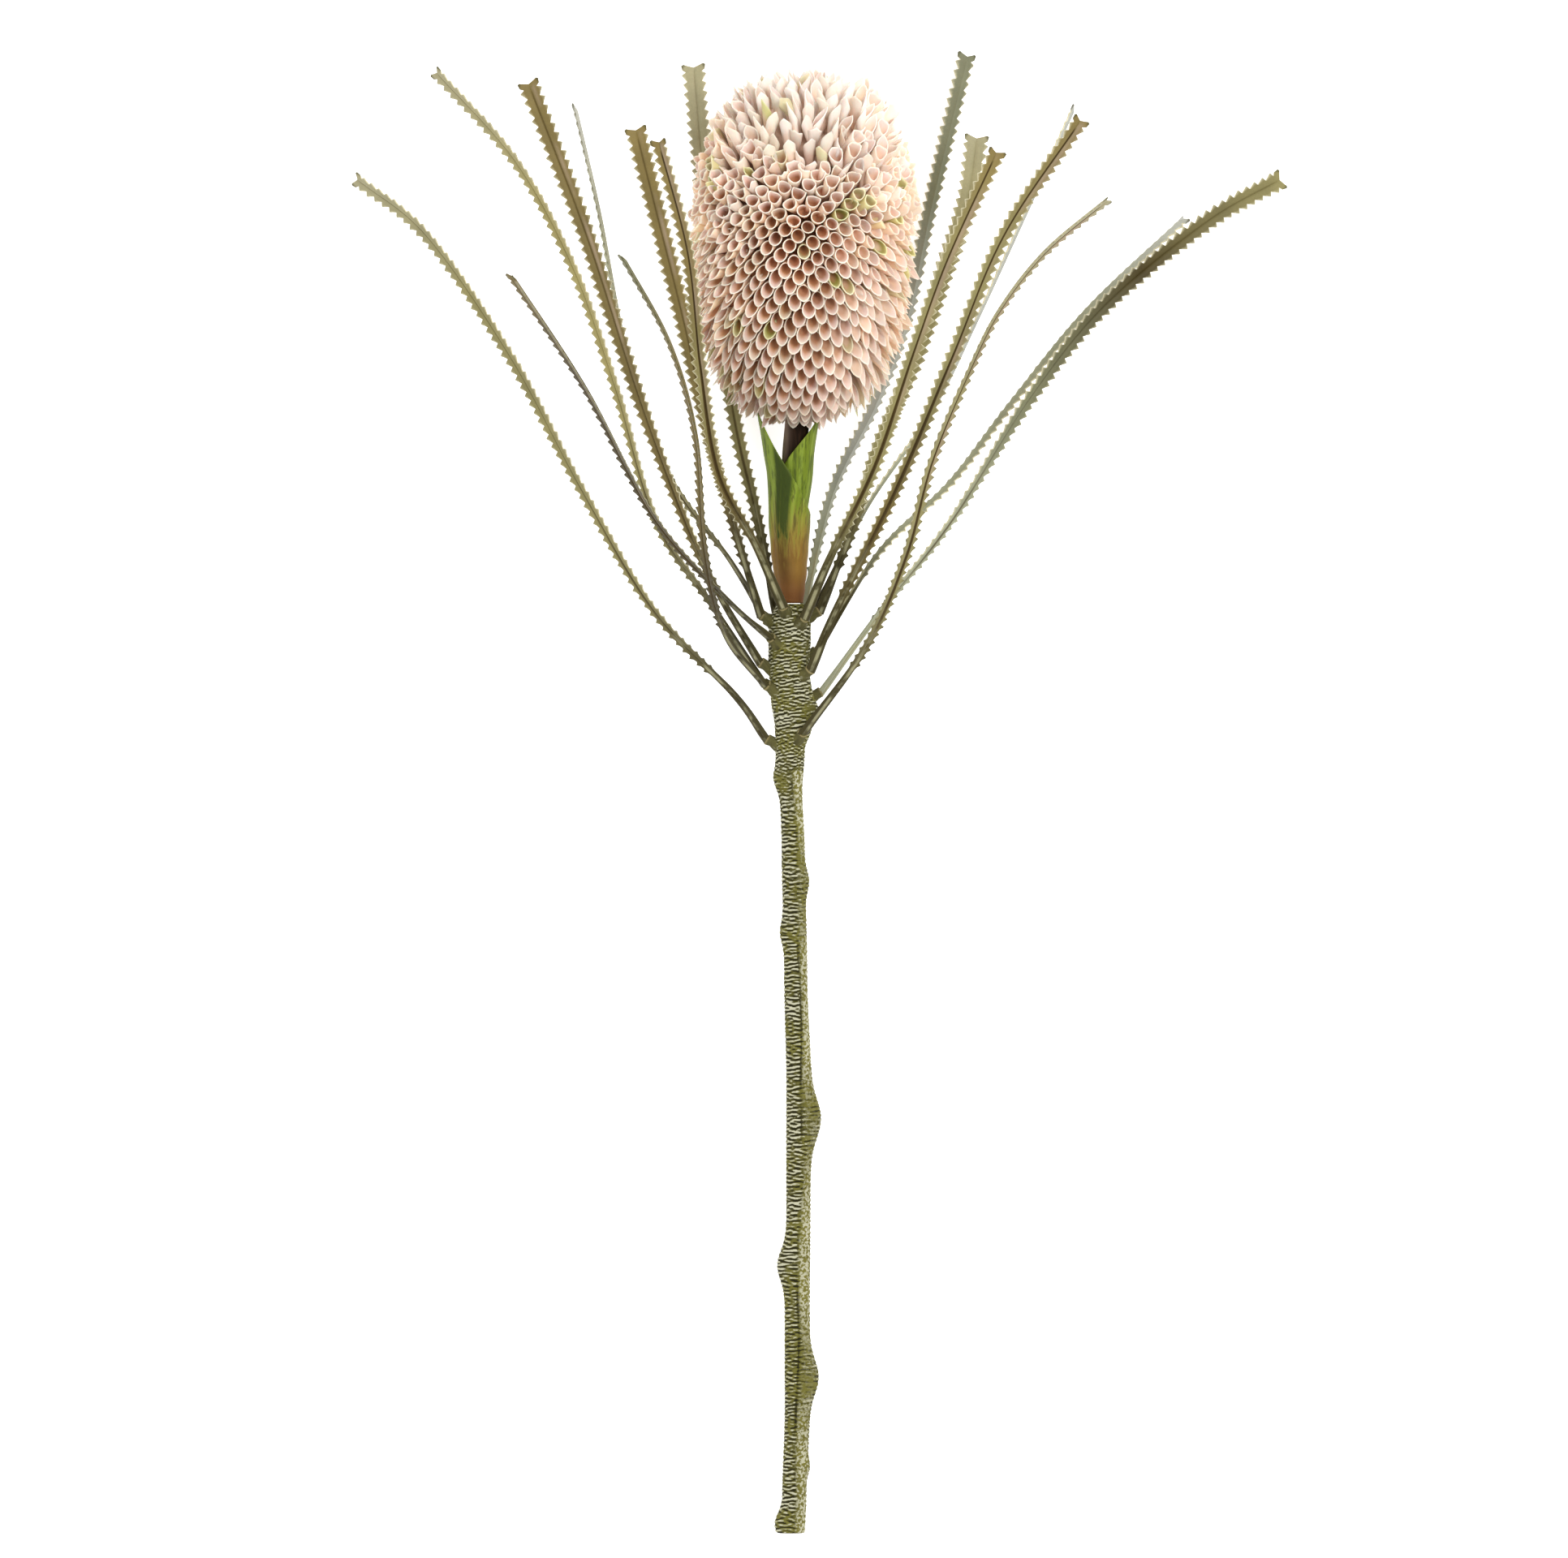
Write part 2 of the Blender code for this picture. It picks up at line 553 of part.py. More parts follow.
def make_leaf(leaf):
    """A saw-toothed blade: a smooth strap at the base, teeth on both edges, and two horns at the tip."""
    name, _, _, width, base_roll, tip_roll, _ = leaf
    _, path = leaf_route(leaf)
    length = path.length
    points = []

    def station(distance, half_width, thickness, has_midrib=True):
        """Left edge, right edge, upper and lower midrib. A tooth's tips have no midrib between them."""
        turned = (distance / length - LEAF_TURNING[0]) / (LEAF_TURNING[1] - LEAF_TURNING[0])
        turned = min(max(turned, 0.0), 1.0)
        roll = base_roll + (tip_roll - base_roll) * turned * turned * (3 - 2 * turned)
        across, face = cross_section(path, distance, roll)
        centre = path.at(distance)
        raised = LEAF_FOLD * half_width / (0.5 * width) * face
        first = len(points)
        points.append(centre - half_width * across + raised)
        points.append(centre + half_width * across + raised)
        if has_midrib:
            points.append(centre + LEAF_UPPER_SHARE * thickness * face)
            points.append(centre - (1 - LEAF_UPPER_SHARE) * thickness * face)
        return first

    def tooth_depth(distance):
        share = (distance - LEAF_STRAP) / (length - LEAF_STRAP)
        grown = min(1.0, share / LEAF_FULL_TEETH)
        return LEAF_LEAST_TOOTH + (LEAF_TOOTH_DEPTH - LEAF_LEAST_TOOTH) * grown

    def half_core(distance):
        share = (distance - LEAF_STRAP) / (length - LEAF_STRAP)
        widest = 0.5 * width - LEAF_TOOTH_DEPTH
        return LEAF_NECK_HALF_WIDTH + (widest - LEAF_NECK_HALF_WIDTH) * share**LEAF_WIDENING

    faces = []

    def join(a, b):
        """Skin between two stations that both have a midrib."""
        for edge in (0, 1):
            for rib in (2, 3):
                faces.append((a + edge, a + rib, b + rib))
                faces.append((a + edge, b + rib, b + edge))

    def join_tooth(a, tooth, b):
        """Skin between two stations with a tooth on both edges."""
        for edge in (0, 1):
            for rib in (2, 3):
                faces.append((a + rib, a + edge, tooth + edge))
                faces.append((a + rib, tooth + edge, b + rib))
                faces.append((b + rib, tooth + edge, b + edge))

    start = station(GAP, LEAF_BASE_HALF_WIDTH, LEAF_BASE_THICKNESS)
    faces.append((start, start + 2, start + 1))
    faces.append((start, start + 1, start + 3))
    last = start
    strap = (
        (LEAF_KNUCKLE_LENGTH, LEAF_STRAP_HALF_WIDTH, LEAF_KNUCKLE_THICKNESS),
        (LEAF_STRAP, LEAF_NECK_HALF_WIDTH, LEAF_THICKNESS),
    )
    for distance, half_width, thickness in strap:
        here = station(distance, half_width, thickness)
        join(last, here)
        last = here
    tail = length - LEAF_HORN_LENGTH
    pitch = (tail - LEAF_STRAP) / LEAF_TEETH
    for k in range(LEAF_TEETH):
        near = LEAF_STRAP + k * pitch
        far = near + pitch
        peak = near + LEAF_TOOTH_LEAN * pitch
        tooth = station(peak, half_core(peak) + tooth_depth(peak), LEAF_THICKNESS, has_midrib=False)
        here = station(far, half_core(far), LEAF_THICKNESS)
        join_tooth(last, tooth, here)
        last = here
    horns = station(length, 0.5 * width, LEAF_THICKNESS, has_midrib=False)
    for edge in (0, 1):
        for rib in (2, 3):
            faces.append((last + rib, last + edge, horns + edge))
    faces.append((last + 2, last + 3, horns))
    faces.append((last + 2, last + 3, horns + 1))
    if name in RESTING_LEAVES:
        points = rest_on_surface(points)
    return make_object(name, points, faces)


def rest_on_surface(points):
    """Bends the outer part of a leaf so that its lowest point lies on the surface."""
    start = points[0]
    lowest = min(points, key=lambda p: p.z)
    reach = (lowest - start).length
    bent = []
    for p in points:
        share = min(1.0, (p - start).length / reach)
        bent.append(Vector((p.x, p.y, p.z - lowest.z * share**2)))
    return bent


def centre_on_origin(pieces):
    """Moves all pieces so that the middle of the outline is over the origin."""
    graph = bpy.context.evaluated_depsgraph_get()
    corners = [piece.evaluated_get(graph).data.vertices for piece in pieces]
    xs = [v.co.x for vertices in corners for v in vertices]
    ys = [v.co.y for vertices in corners for v in vertices]
    shift = Matrix.Translation((-(min(xs) + max(xs)) / 2, -(min(ys) + max(ys)) / 2, 0.0))
    for piece in pieces:
        piece.data.transform(shift)


def main():
    clear_scene()
    random_draw = random.Random(SEED)
    pieces = [make_stem(), make_stalk()]
    pieces += [make_sheath(*sheath) for sheath in SHEATHS]
    pieces.append(make_head(random_draw))
    pieces += [make_leaf(leaf) for leaf in LEAVES]
    for piece in pieces:
        piece.data.materials.clear()
        piece.data.materials.append(finish(piece.name))
    centre_on_origin(pieces)


main()
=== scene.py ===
"""The surfaces of a cut banksia stem: wrinkled bark, rolled bracts, saw-toothed leaves and green sheaths.

Lengths are in millimetres, in the design's own frame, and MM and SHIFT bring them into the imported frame.
"""

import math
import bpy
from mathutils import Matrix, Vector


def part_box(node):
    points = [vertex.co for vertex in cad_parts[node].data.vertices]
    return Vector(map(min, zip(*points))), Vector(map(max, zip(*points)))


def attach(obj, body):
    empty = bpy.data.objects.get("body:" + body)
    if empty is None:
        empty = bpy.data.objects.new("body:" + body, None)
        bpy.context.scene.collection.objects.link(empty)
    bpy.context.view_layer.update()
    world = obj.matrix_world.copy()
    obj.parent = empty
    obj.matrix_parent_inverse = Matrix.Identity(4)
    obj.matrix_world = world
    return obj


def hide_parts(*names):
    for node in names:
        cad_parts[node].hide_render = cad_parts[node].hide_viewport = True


bl_info = {
    "name": "Banksia flower",
    "version": (1, 0, 0),
    "blender": (4, 5, 0),
    "location": "3D View > Sidebar > Banksia",
    "description": "Builds the bark, stalk, sheaths, bracts and leaves of a cut banksia stem",
    "category": "Object",
}

from collections import namedtuple

import bpy
import numpy as np
from bpy.props import FloatProperty, FloatVectorProperty, PointerProperty
from mathutils import Vector

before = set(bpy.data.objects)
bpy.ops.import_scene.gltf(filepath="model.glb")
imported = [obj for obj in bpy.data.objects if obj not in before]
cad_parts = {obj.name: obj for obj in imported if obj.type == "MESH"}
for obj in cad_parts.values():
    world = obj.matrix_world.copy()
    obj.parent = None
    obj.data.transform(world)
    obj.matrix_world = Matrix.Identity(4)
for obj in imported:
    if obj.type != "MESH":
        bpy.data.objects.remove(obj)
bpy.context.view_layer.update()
BODY = "root"
MM = 0.001
SEED = 29

# The stem's axis climbs from its cut end, which lies on the surface, to the head
CUT_END_Y = -329.6
CUT_END_HEIGHT = 5.8 * math.cos(math.pi / 12)
AXIS_CLIMB = 0.0774

# Stations along the stem: place along Y, sideways place of the centre, radius
STEM_STATIONS = [
    (-329.6, -1.4, 5.8),
    (-314.0, -0.4, 5.4),
    (-274.0, 0.9, 5.6),
    (-224.0, 0.9, 5.6),
    (-188.0, 1.4, 5.4),
    (-130.0, 1.6, 5.6),
    (-80.0, 0.2, 5.2),
    (-26.0, -0.9, 5.2),
    (1.0, -1.8, 5.0),
    (19.0, -2.2, 6.5),
    (28.0, -1.1, 7.9),
    (42.0, -1.6, 9.2),
    (57.0, -2.9, 9.0),
    (68.0, -2.5, 9.4),
    (77.0, -2.3, 9.2),
    (84.0, -1.6, 6.6),
]
STEM_RING_STEP = 0.38
STEM_COLUMNS = 64
WRINKLE_WAVES = 48
WRINKLE_VARIETY = 0.28  # how much their spacing differs
WRINKLE_MOST_TURNS = 20
WRINKLE_SLANTS = (4.2, 9.0)  # how broken the ridges are below and among the leaves
WRINKLE_BREAKING = (-10.0, 25.0)  # place along Y where they start to break up, and over what length
BARK_END = 0.8  # length of the rounded ends of the bark
BARK_END_DEPTH = 0.5

# Knobs on the stem: place along Y, direction round the stem in degrees, height, half length
STEM_KNOBS = [
    (-325.0, 180, 2.2, 9.0),
    (-300.0, 0, 1.2, 6.0),
    (-260.0, 0, 4.0, 15.0),
    (-210.0, 180, 3.6, 13.0),
    (-145.0, 0, 4.4, 17.0),
    (-62.0, 180, 1.6, 9.0),
    (-39.0, 0, 1.8, 9.0),
    (6.0, 180, 2.6, 9.0),
    (36.0, 20, 3.6, 8.0),
]
STRIP_TURN = 40.0  # direction round the stem of the smooth strip, in degrees
STRIP_HALF = 38.0
STRIP_TOP = 10.0
FURROW_TURN = 82.0
FURROW_HALF = 5.0
FURROW_DEPTH = 0.3
FURROW_TOP = 5.0
STRIP_DRIFT = ((9.0, 60.0), (7.0, 12.0))  # waves of the strip and the furrow round the stem: degrees, length
FURROW_BREAKS = ((0.8, 23.0), (0.5, 4.1))  # waves that break the furrow up: share, length

# Leaf cushions on the stem
CUSHION_LENGTH = 6.5
CUSHION_LEAN = 1.3
CUSHION_SINK = 5.0
CUSHION_LUMPS = 0.06
CUSHION_COLUMNS = 20
CUSHION_PROFILE = [  # share of the way from the root to the seat, radius
    (0.0, 3.0), (0.3, 3.3), (0.55, 3.0), (0.75, 2.31), (0.9, 2.376), (0.98, 2.42), (1.0, 1.98),
]
CENTRE_CREST = 0.3  # crest value of the points that close the bark's ends and the cushions

# Flower stalk: place along Y, sideways place of the centre and radius
STALK_STATIONS = [
    (84.4, -1.6, 2.7),
    (93.0, -2.0, 3.6),
    (104.0, -2.5, 4.6),
    (121.0, -2.6, 5.2),
    (146.0, -0.6, 5.4),
    (171.5, 1.3, 5.6),
]
STALK_CAD_SIDES = 14
STALK_COLUMNS = 40
STALK_ROWS = 60
STALK_GROOVE = 0.02  # depth of its grooves as a share of its radius
# Direction round the stalk and width of the painted highlight down its left side
STALK_HIGHLIGHT_TURN = 170.0
STALK_HIGHLIGHT_SPAN = 34.0

# Sheath leaves: place along Y and outer radius
SHEATH_STATIONS = [
    (84.4, 5.2),
    (91.0, 6.4),
    (99.0, 7.6),
    (108.0, 8.5),
    (121.0, 9.4),
    (140.0, 10.0),
    (172.0, 10.3),
]
SHEATH_LEAN_POWER = 1.6
SHEATH_COLUMNS = 72
SHEATH_ROWS = 56
SHEATH_SKIN = 0.1  # how far its outer face stays inside that radius
SHEATH_FOLD_FOOT = 1 / 3  # share of its length over which the folds rise from nothing
SHEATH_FOLD_END = 6.0  # distance from the rim over which they fade
SHEATH_THINNING = 0.55  # share of the wall that is lost at the rim
SHEATH_THIN_LENGTH = 4.0
# Width of the painted highlight along the rim
SHEATH_EDGE = 1.6
# Direction round the stalk and width of the painted shade down the sheath's left side
SHEATH_SHADE_TURN = 112.0
SHEATH_SHADE_SPAN = 26.0
# Name, places along Y of the tip and of the lowest rim, the tip's direction round the stalk, how sharp it is
# and how far it leans outwards, how far the leaf stays inside the other one, and how strong its folds are
SHEATHS = [
    ("sheath_outer", 169.5, 123.0, 168.0, 1.8, 8.5, 0.0, 1.0),
    ("sheath_inner", 168.5, 127.0, 10.5, 0.85, 0.8, 1.4, 0.25),
]

# Flower head: a barrel whose upper and lower halves are superellipses
HEAD_BOTTOM_Y = 162.9
HEAD_LENGTH = 157.3
HEAD_RADIUS = 50.8
HEAD_WIDEST = 0.515
HEAD_LOWER_POWER = 2.6
HEAD_UPPER_POWER = 2.4
HEAD_SIDEWAYS_START = 1.05
HEAD_SIDEWAYS_CLIMB = 0.0304
CORE_DEPTH = 14.0
CORE_GAP = 0.4  # between the stalk's top and the core
CORE_OUTLINE = (0.05, 0.995)  # the part of the head's outline that it follows
CORE_FOOT = 0.34  # share of that width at its foot
CORE_FOOT_REACH = 0.3
CORE_ROWS = 40
CORE_COLUMNS = 64
BRACT_LEVEL = 0.583  # share of the head's length where the bracts point straight out
BRACT_TOP_ANGLE = 6.0
BRACT_BOTTOM_ANGLE = 152.0
BRACT_TOP_POWER = 0.68  # below 1, the bracts above the level ones turn upwards sooner
BRACT_COLUMNS = 16
GOLDEN_ANGLE = math.radians(137.508)
AREA_STEPS = 2000

# Leaves
LEAF_HORN_OVERREACH = 1.3
PATH_STEPS = 60
LEAF_GAP = 0.3
# Each leaf: its name, its place along Y and its direction round the stem, its full width, its roll at the
# base and at the tip, its tints from the base to the tip, how dark its midrib is, and the points on its way
Leaf = namedtuple("Leaf", "name y turn width base_roll tip_roll tones rib route")
LEAVES = [Leaf(*row) for row in (
    ("left_1", 19, 180, 8.5, 44, 48, "base olive olive olive khaki", 0, [
        (-27, 44, 34), (-62.4, 81, 37), (-95, 135.6, 37), (-125.9, 193.3, 30), (-163.6, 247.9, 14),
        (-195.2, 273.8, 2.4),
    ]),
    ("left_2", 44, 200, 8.5, 50, 54, "base olive yellow yellow khaki", 0, [
        (-37, 84, 37), (-61.7, 121.3, 43), (-79, 178.6, 50), (-98.3, 233.4, 52), (-123.8, 280.4, 50),
        (-159, 320, 43),
    ]),
    ("left_3", 53, 172, 9.8, 40, 0, "base brown brown brown golden", 0.4, [
        (-34, 89, 50), (-48.4, 120, 62), (-69.2, 175.6, 78), (-92.3, 246.6, 88), (-117.8, 313.3, 92),
    ]),
    ("left_4", 64, 130, 8.5, 60, 76, "base dark dark dark brown", 0.9, [
        (-30, 86, 66), (-61.7, 121.3, 92), (-92.3, 178.1, 120), (-124.4, 227.1, 140),
    ]),
    ("left_5", 72, 218, 8.5, 60, 88, "base olive sage sage grey", 0, [
        (-28.6, 103.5, 25), (-56.3, 142.3, 19), (-74.6, 194.5, 14), (-87.4, 259, 9), (-98.2, 306, 7),
    ]),
    ("left_6", 43, 150, 8.5, 50, 84, "base dark brown brown moss", 0.6, [
        (-31, 71, 62), (-39.8, 107.4, 94), (-43.6, 156.8, 118), (-55.3, 197.8, 132), (-75.8, 235.3, 142),
    ]),
    ("left_7", 74, 165, 10.0, 35, 0, "base brown brown golden golden", 0.4, [
        (-26.6, 117, 60), (-39.1, 162.4, 80), (-48.9, 206.9, 96), (-61.2, 256, 108), (-70.3, 292.2, 114),
    ]),
    ("left_8", 78, 105, 8.0, 10, 30, "base brown olive golden golden", 1, [
        (-17, 109, 64), (-33.9, 141.4, 86), (-41.7, 188.6, 112), (-47.1, 237.8, 128), (-59.9, 286.2, 136),
    ]),
    ("left_9", 74, 245, 10.8, 20, 8, "base olive olive khaki khaki", 0.1, [
        (-17.2, 124.2, 21), (-26.4, 164.5, 12), (-36.1, 226.9, 8), (-41.8, 285.2, 6), (-45.3, 323.8, 4),
    ]),
    ("right_1", 74, 295, 9.0, 145, 155, "sage grey grey moss moss", 0, [
        (16.4, 133.2, 17), (35.8, 173.6, 11), (49.4, 211, 8), (60.8, 263, 6), (76.7, 328.6, 4),
    ]),
    ("right_2", 76, 5, 11.0, -30, 0, "base olive olive olive khaki", 0, [
        (26.1, 120, 45), (35.4, 150.7, 50), (52, 190.2, 54), (64.2, 226.2, 54), (76, 261.8, 52),
        (80.4, 290.7, 50),
    ]),
    ("right_3", 73, 60, 9.0, -10, -28, "base olive olive olive golden", 1, [
        (15.7, 104.9, 66), (35.2, 145, 90), (51.6, 193.2, 108), (66.8, 235.2, 118), (88.4, 282.1, 122),
    ]),
    ("right_4", 50, 45, 8.6, -20, -28, "base brown olive olive golden", 1, [
        (18.4, 82.2, 58), (44.3, 134.4, 80), (69.2, 192.9, 98), (91.9, 246.3, 108), (125.5, 296.5, 110),
    ]),
    ("right_5", 76, 325, 8.5, 100, 92, "base sage grey grey grey", 0, [
        (32, 127.4, 24), (60, 168.6, 15), (81.3, 211.8, 11), (102.5, 258, 8), (124.2, 305.3, 7),
    ]),
    ("right_6", 22, 60, 8.5, -40, -72, "base olive olive olive khaki", 1, [
        (31.2, 65.2, 62), (48.6, 105, 88), (59.8, 146, 106), (76.9, 187.3, 118), (90, 213, 124),
        (110, 238.4, 128), (136.7, 260.8, 130),
    ]),
    ("right_7", 58, 340, 8.5, 240, 246, "base sage sage sage grey", 0, [
        (37.1, 107.2, 31), (68.5, 138, 27), (95.1, 172.6, 22), (130, 215.4, 13), (173, 256.1, 4),
    ]),
    ("right_8", 40, 355, 9.4, -54, -8, "sage sage moss dark olive", 0.1, [
        (39.2, 83, 38), (69, 121.1, 41), (104, 175.5, 38), (137.6, 217, 30), (183.3, 254.5, 15),
        (216.1, 273.5, 2.6),
    ]),
)]
EARLY_TEETH = {"left_7": 24.0, "left_9": 20.0, "right_1": 18.0, "right_2": 20.0}  # shorter straps
DULL_EDGES = {"left_4": 0.4, "left_5": 0.25, "left_6": 0.1, "right_6": 0.4}  # share of the edge's paleness
RESTING_LEAVES = ("left_1", "left_9", "right_1", "right_7", "right_8")


# Shapes shared by several pieces

def between(stations, at):
    """Smooth values at places (an array) from stations whose first number is the place."""
    table = np.array(stations, float)
    at = np.clip(np.asarray(at, float), table[0, 0], table[-1, 0])
    low = np.clip(np.searchsorted(table[:, 0], at, side="left") - 1, 0, len(table) - 2)
    share = (at - table[low, 0]) / (table[low + 1, 0] - table[low, 0])
    share = share * share * (3 - 2 * share)
    return [table[low, k] + (table[low + 1, k] - table[low, k]) * share for k in range(1, table.shape[1])]


def rise(values, start, reach):
    """0 at the start, 1 at the reach after it, and flat beyond both. A negative reach counts downwards."""
    return np.clip((values - start) / reach, 0, 1)


def hill(off, span):
    """1 in the middle, fading to nothing on both sides."""
    return np.exp(-((off / span) ** 2))


def sway(place, waves):
    """A sum of sine waves, each with a height and a length."""
    return sum(height * np.sin(place / length) for height, length in waves)


def unit(vectors):
    return vectors / np.linalg.norm(vectors, axis=-1, keepdims=True)


def round_turns(columns):
    """Even directions round a ring, in radians."""
    return 2 * math.pi * np.arange(columns) / columns


def axis_height(y):
    """Height of the axis over the surface."""
    return CUT_END_HEIGHT + (y - CUT_END_Y) * AXIS_CLIMB


def head_frame():
    """Origin at the head's lower end, the way up the head, and two directions across it."""
    origin = np.array([HEAD_SIDEWAYS_START, HEAD_BOTTOM_Y, axis_height(HEAD_BOTTOM_Y)])
    along = Vector((HEAD_SIDEWAYS_CLIMB, 1.0, AXIS_CLIMB)).normalized()
    across = along.cross(Vector((0.0, 0.0, 1.0))).normalized()
    return origin, np.array(along), np.array(across), np.array(across.cross(along))


def head_radius(share):
    """Outer radius of the head at shares of its length."""
    share = np.asarray(share, float)
    lower = share < HEAD_WIDEST
    off = np.where(lower, (HEAD_WIDEST - share) / HEAD_WIDEST, (share - HEAD_WIDEST) / (1 - HEAD_WIDEST))
    power = np.where(lower, HEAD_LOWER_POWER, HEAD_UPPER_POWER)
    return HEAD_RADIUS * np.maximum(0.0, 1 - np.clip(off, 0, 1) ** power) ** (1 / power)


def stalk_points(rows, columns):
    """Rings of points up the stalk, whose section turns from the stem's to the head's."""
    _, _, across, upright = head_frame()
    foot, top = STALK_STATIONS[0][0], STALK_STATIONS[-1][0]
    sideways, radius = between(STALK_STATIONS, rows)
    share = ((rows - foot) / (top - foot))[:, None, None]
    turn = round_turns(columns)[None, :, None]
    side = np.array([1.0, 0, 0]) * (1 - share) + across * share
    up = np.array([0, 0, 1.0]) * (1 - share) + upright * share
    centre = np.stack([sideways, rows, axis_height(rows)], axis=-1)[:, None, :]
    return centre + radius[:, None, None] * (np.cos(turn) * side + np.sin(turn) * up)


def frame_shift():
    """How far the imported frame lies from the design's frame, read from the stalk's lowest corner."""
    rows = np.array([station[0] for station in STALK_STATIONS])
    design = stalk_points(rows, STALK_CAD_SIDES).reshape(-1, 3).min(axis=0)
    packed = np.array(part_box("stalk")[0]) / MM
    return np.array([packed[0] - design[0], packed[1] - design[1], 0.0])


SHIFT = frame_shift()


def wander(seed, waves, *places):
    """A smooth random field from a few sine waves, about -1 to 1, at arrays of places."""
    draw = np.random.RandomState(seed)
    total = 0.0
    for _ in range(waves):
        angle = draw.uniform(0, 2 * math.pi)
        for place in places:
            angle = angle + place * draw.uniform(0.4, 1.6) * draw.choice((-1, 1))
        total = total + np.sin(angle)
    return total / math.sqrt(waves)


def grid_faces(rows, columns, first=0):
    """Four-sided faces of a tube of points, row after row."""
    row, column = np.meshgrid(np.arange(rows - 1), np.arange(columns), indexing="ij")
    a = first + row * columns + column
    b = first + row * columns + (column + 1) % columns
    return np.stack([a, b, b + columns, a + columns], axis=-1).reshape(-1, 4)


def fans(first, columns, centre, inward):
    """Three-sided faces from a ring to its centre point."""
    a = first + np.arange(columns)
    b = first + (np.arange(columns) + 1) % columns
    order = (b, a) if inward else (a, b)
    return np.stack([*order, np.full(columns, centre)], axis=-1)


def tube_faces(rows, columns, first=0):
    """A closed tube. The centre points of its low and its high end follow its rings."""
    count = rows * columns
    return [
        grid_faces(rows, columns, first),
        fans(first, columns, first + count, True),
        fans(first + count - columns, columns, first + count + 1, False),
    ]


def turned(groups):
    """The same faces, looking the other way."""
    return [group[:, ::-1] for group in groups]


def make_piece(name, points, faces, material, nodes, values, crease=180.0):
    """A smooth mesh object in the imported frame, with values on its points for its material."""
    mesh = bpy.data.meshes.new(name)
    placed = (points + SHIFT) * MM
    placed[:, 2] = np.maximum(placed[:, 2], 0.0)
    mesh.from_pydata(placed.tolist(), [], [face for group in faces for face in group.tolist()])
    mesh.shade_smooth()
    mesh.set_sharp_from_angle(angle=math.radians(crease))
    for key, amounts in values.items():
        amounts = np.asarray(amounts, np.float32)
        kind, field = ("FLOAT_VECTOR", "vector") if amounts.ndim == 2 else ("FLOAT", "value")
        mesh.attributes.new(key, kind, "POINT").data.foreach_set(field, amounts.ravel())
    mesh.materials.append(material)
    piece = bpy.data.objects.new(name, mesh)
    bpy.context.scene.collection.objects.link(piece)
    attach(piece, BODY)
    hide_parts(*nodes)
    return piece


# Material building

def tint(colour):
    """A colour as a shader takes it."""
    return (*colour, 1.0)


class Nodes:
    """Short ways to add and join shader nodes."""

    def __init__(self, tree):
        self.tree = tree

    def add(self, kind, **inputs):
        node = self.tree.nodes.new(kind)
        for key, value in inputs.items():
            self.feed(node.inputs[key.replace("_", " ")], value)
        return node

    def feed(self, socket, value):
        if isinstance(value, bpy.types.NodeSocket):
            self.tree.links.new(value, socket)
        else:
            socket.default_value = value

    def stored(self, name, output="Fac"):
        """A value, or a Color, that is stored on the mesh's points."""
        node = self.add("ShaderNodeAttribute")
        node.attribute_name = name
        return node.outputs[output]

    def math(self, operation, a, b=0.0):
        node = self.add("ShaderNodeMath")
        node.operation = operation
        self.feed(node.inputs[0], a)
        self.feed(node.inputs[1], b)
        return node.outputs[0]

    def times(self, a, b):
        return self.math("MULTIPLY", a, b)

    def plus(self, a, b):
        return self.math("ADD", a, b)

    def minus(self, a, b):
        return self.math("SUBTRACT", a, b)

    def scaled(self, vector, factor):
        """A vector or colour times a number."""
        node = self.add("ShaderNodeVectorMath")
        node.operation = "SCALE"
        self.feed(node.inputs[0], vector)
        self.feed(node.inputs["Scale"], factor)
        return node.outputs[0]

    def mix(self, amount, a, b):
        """A mix of two colours."""
        node = self.add("ShaderNodeMix")
        node.data_type = "RGBA"
        self.feed(node.inputs["Factor"], amount)
        for socket, colour in zip(node.inputs[6:8], (a, b)):
            self.feed(socket, colour if isinstance(colour, bpy.types.NodeSocket) else tint(colour))
        return node.outputs[2]

    def ramp(self, amount, low, high, soft=True):
        """0 below low, 1 above high."""
        node = self.add("ShaderNodeMapRange", Value=amount, From_Min=low, From_Max=high)
        node.interpolation_type = "SMOOTHSTEP" if soft else "LINEAR"
        return node.outputs["Result"]

    def place(self):
        """Where a point lies on its object."""
        return self.add("ShaderNodeTexCoord").outputs["Object"]

    def stretched(self, place, lengthwise):
        """The same, but longer or shorter along the stem."""
        return self.add("ShaderNodeMapping", Vector=place, Scale=(1.0, lengthwise, 1.0)).outputs[0]

    def noise(self, place, scale, detail, **more):
        return self.add("ShaderNodeTexNoise", Vector=place, Scale=scale, Detail=detail, **more).outputs["Fac"]


def new_group(name, inputs, outputs):
    """A shader node group with named sockets, and its input and output nodes."""
    group = bpy.data.node_groups.new(name, "ShaderNodeTree")
    for label, kind, default in inputs:
        socket = group.interface.new_socket(name=label, in_out="INPUT", socket_type=kind)
        socket.default_value = default
    for label, kind in outputs:
        group.interface.new_socket(name=label, in_out="OUTPUT", socket_type=kind)
    nodes = Nodes(group)
    return nodes, group.nodes.new("NodeGroupInput"), group.nodes.new("NodeGroupOutput")


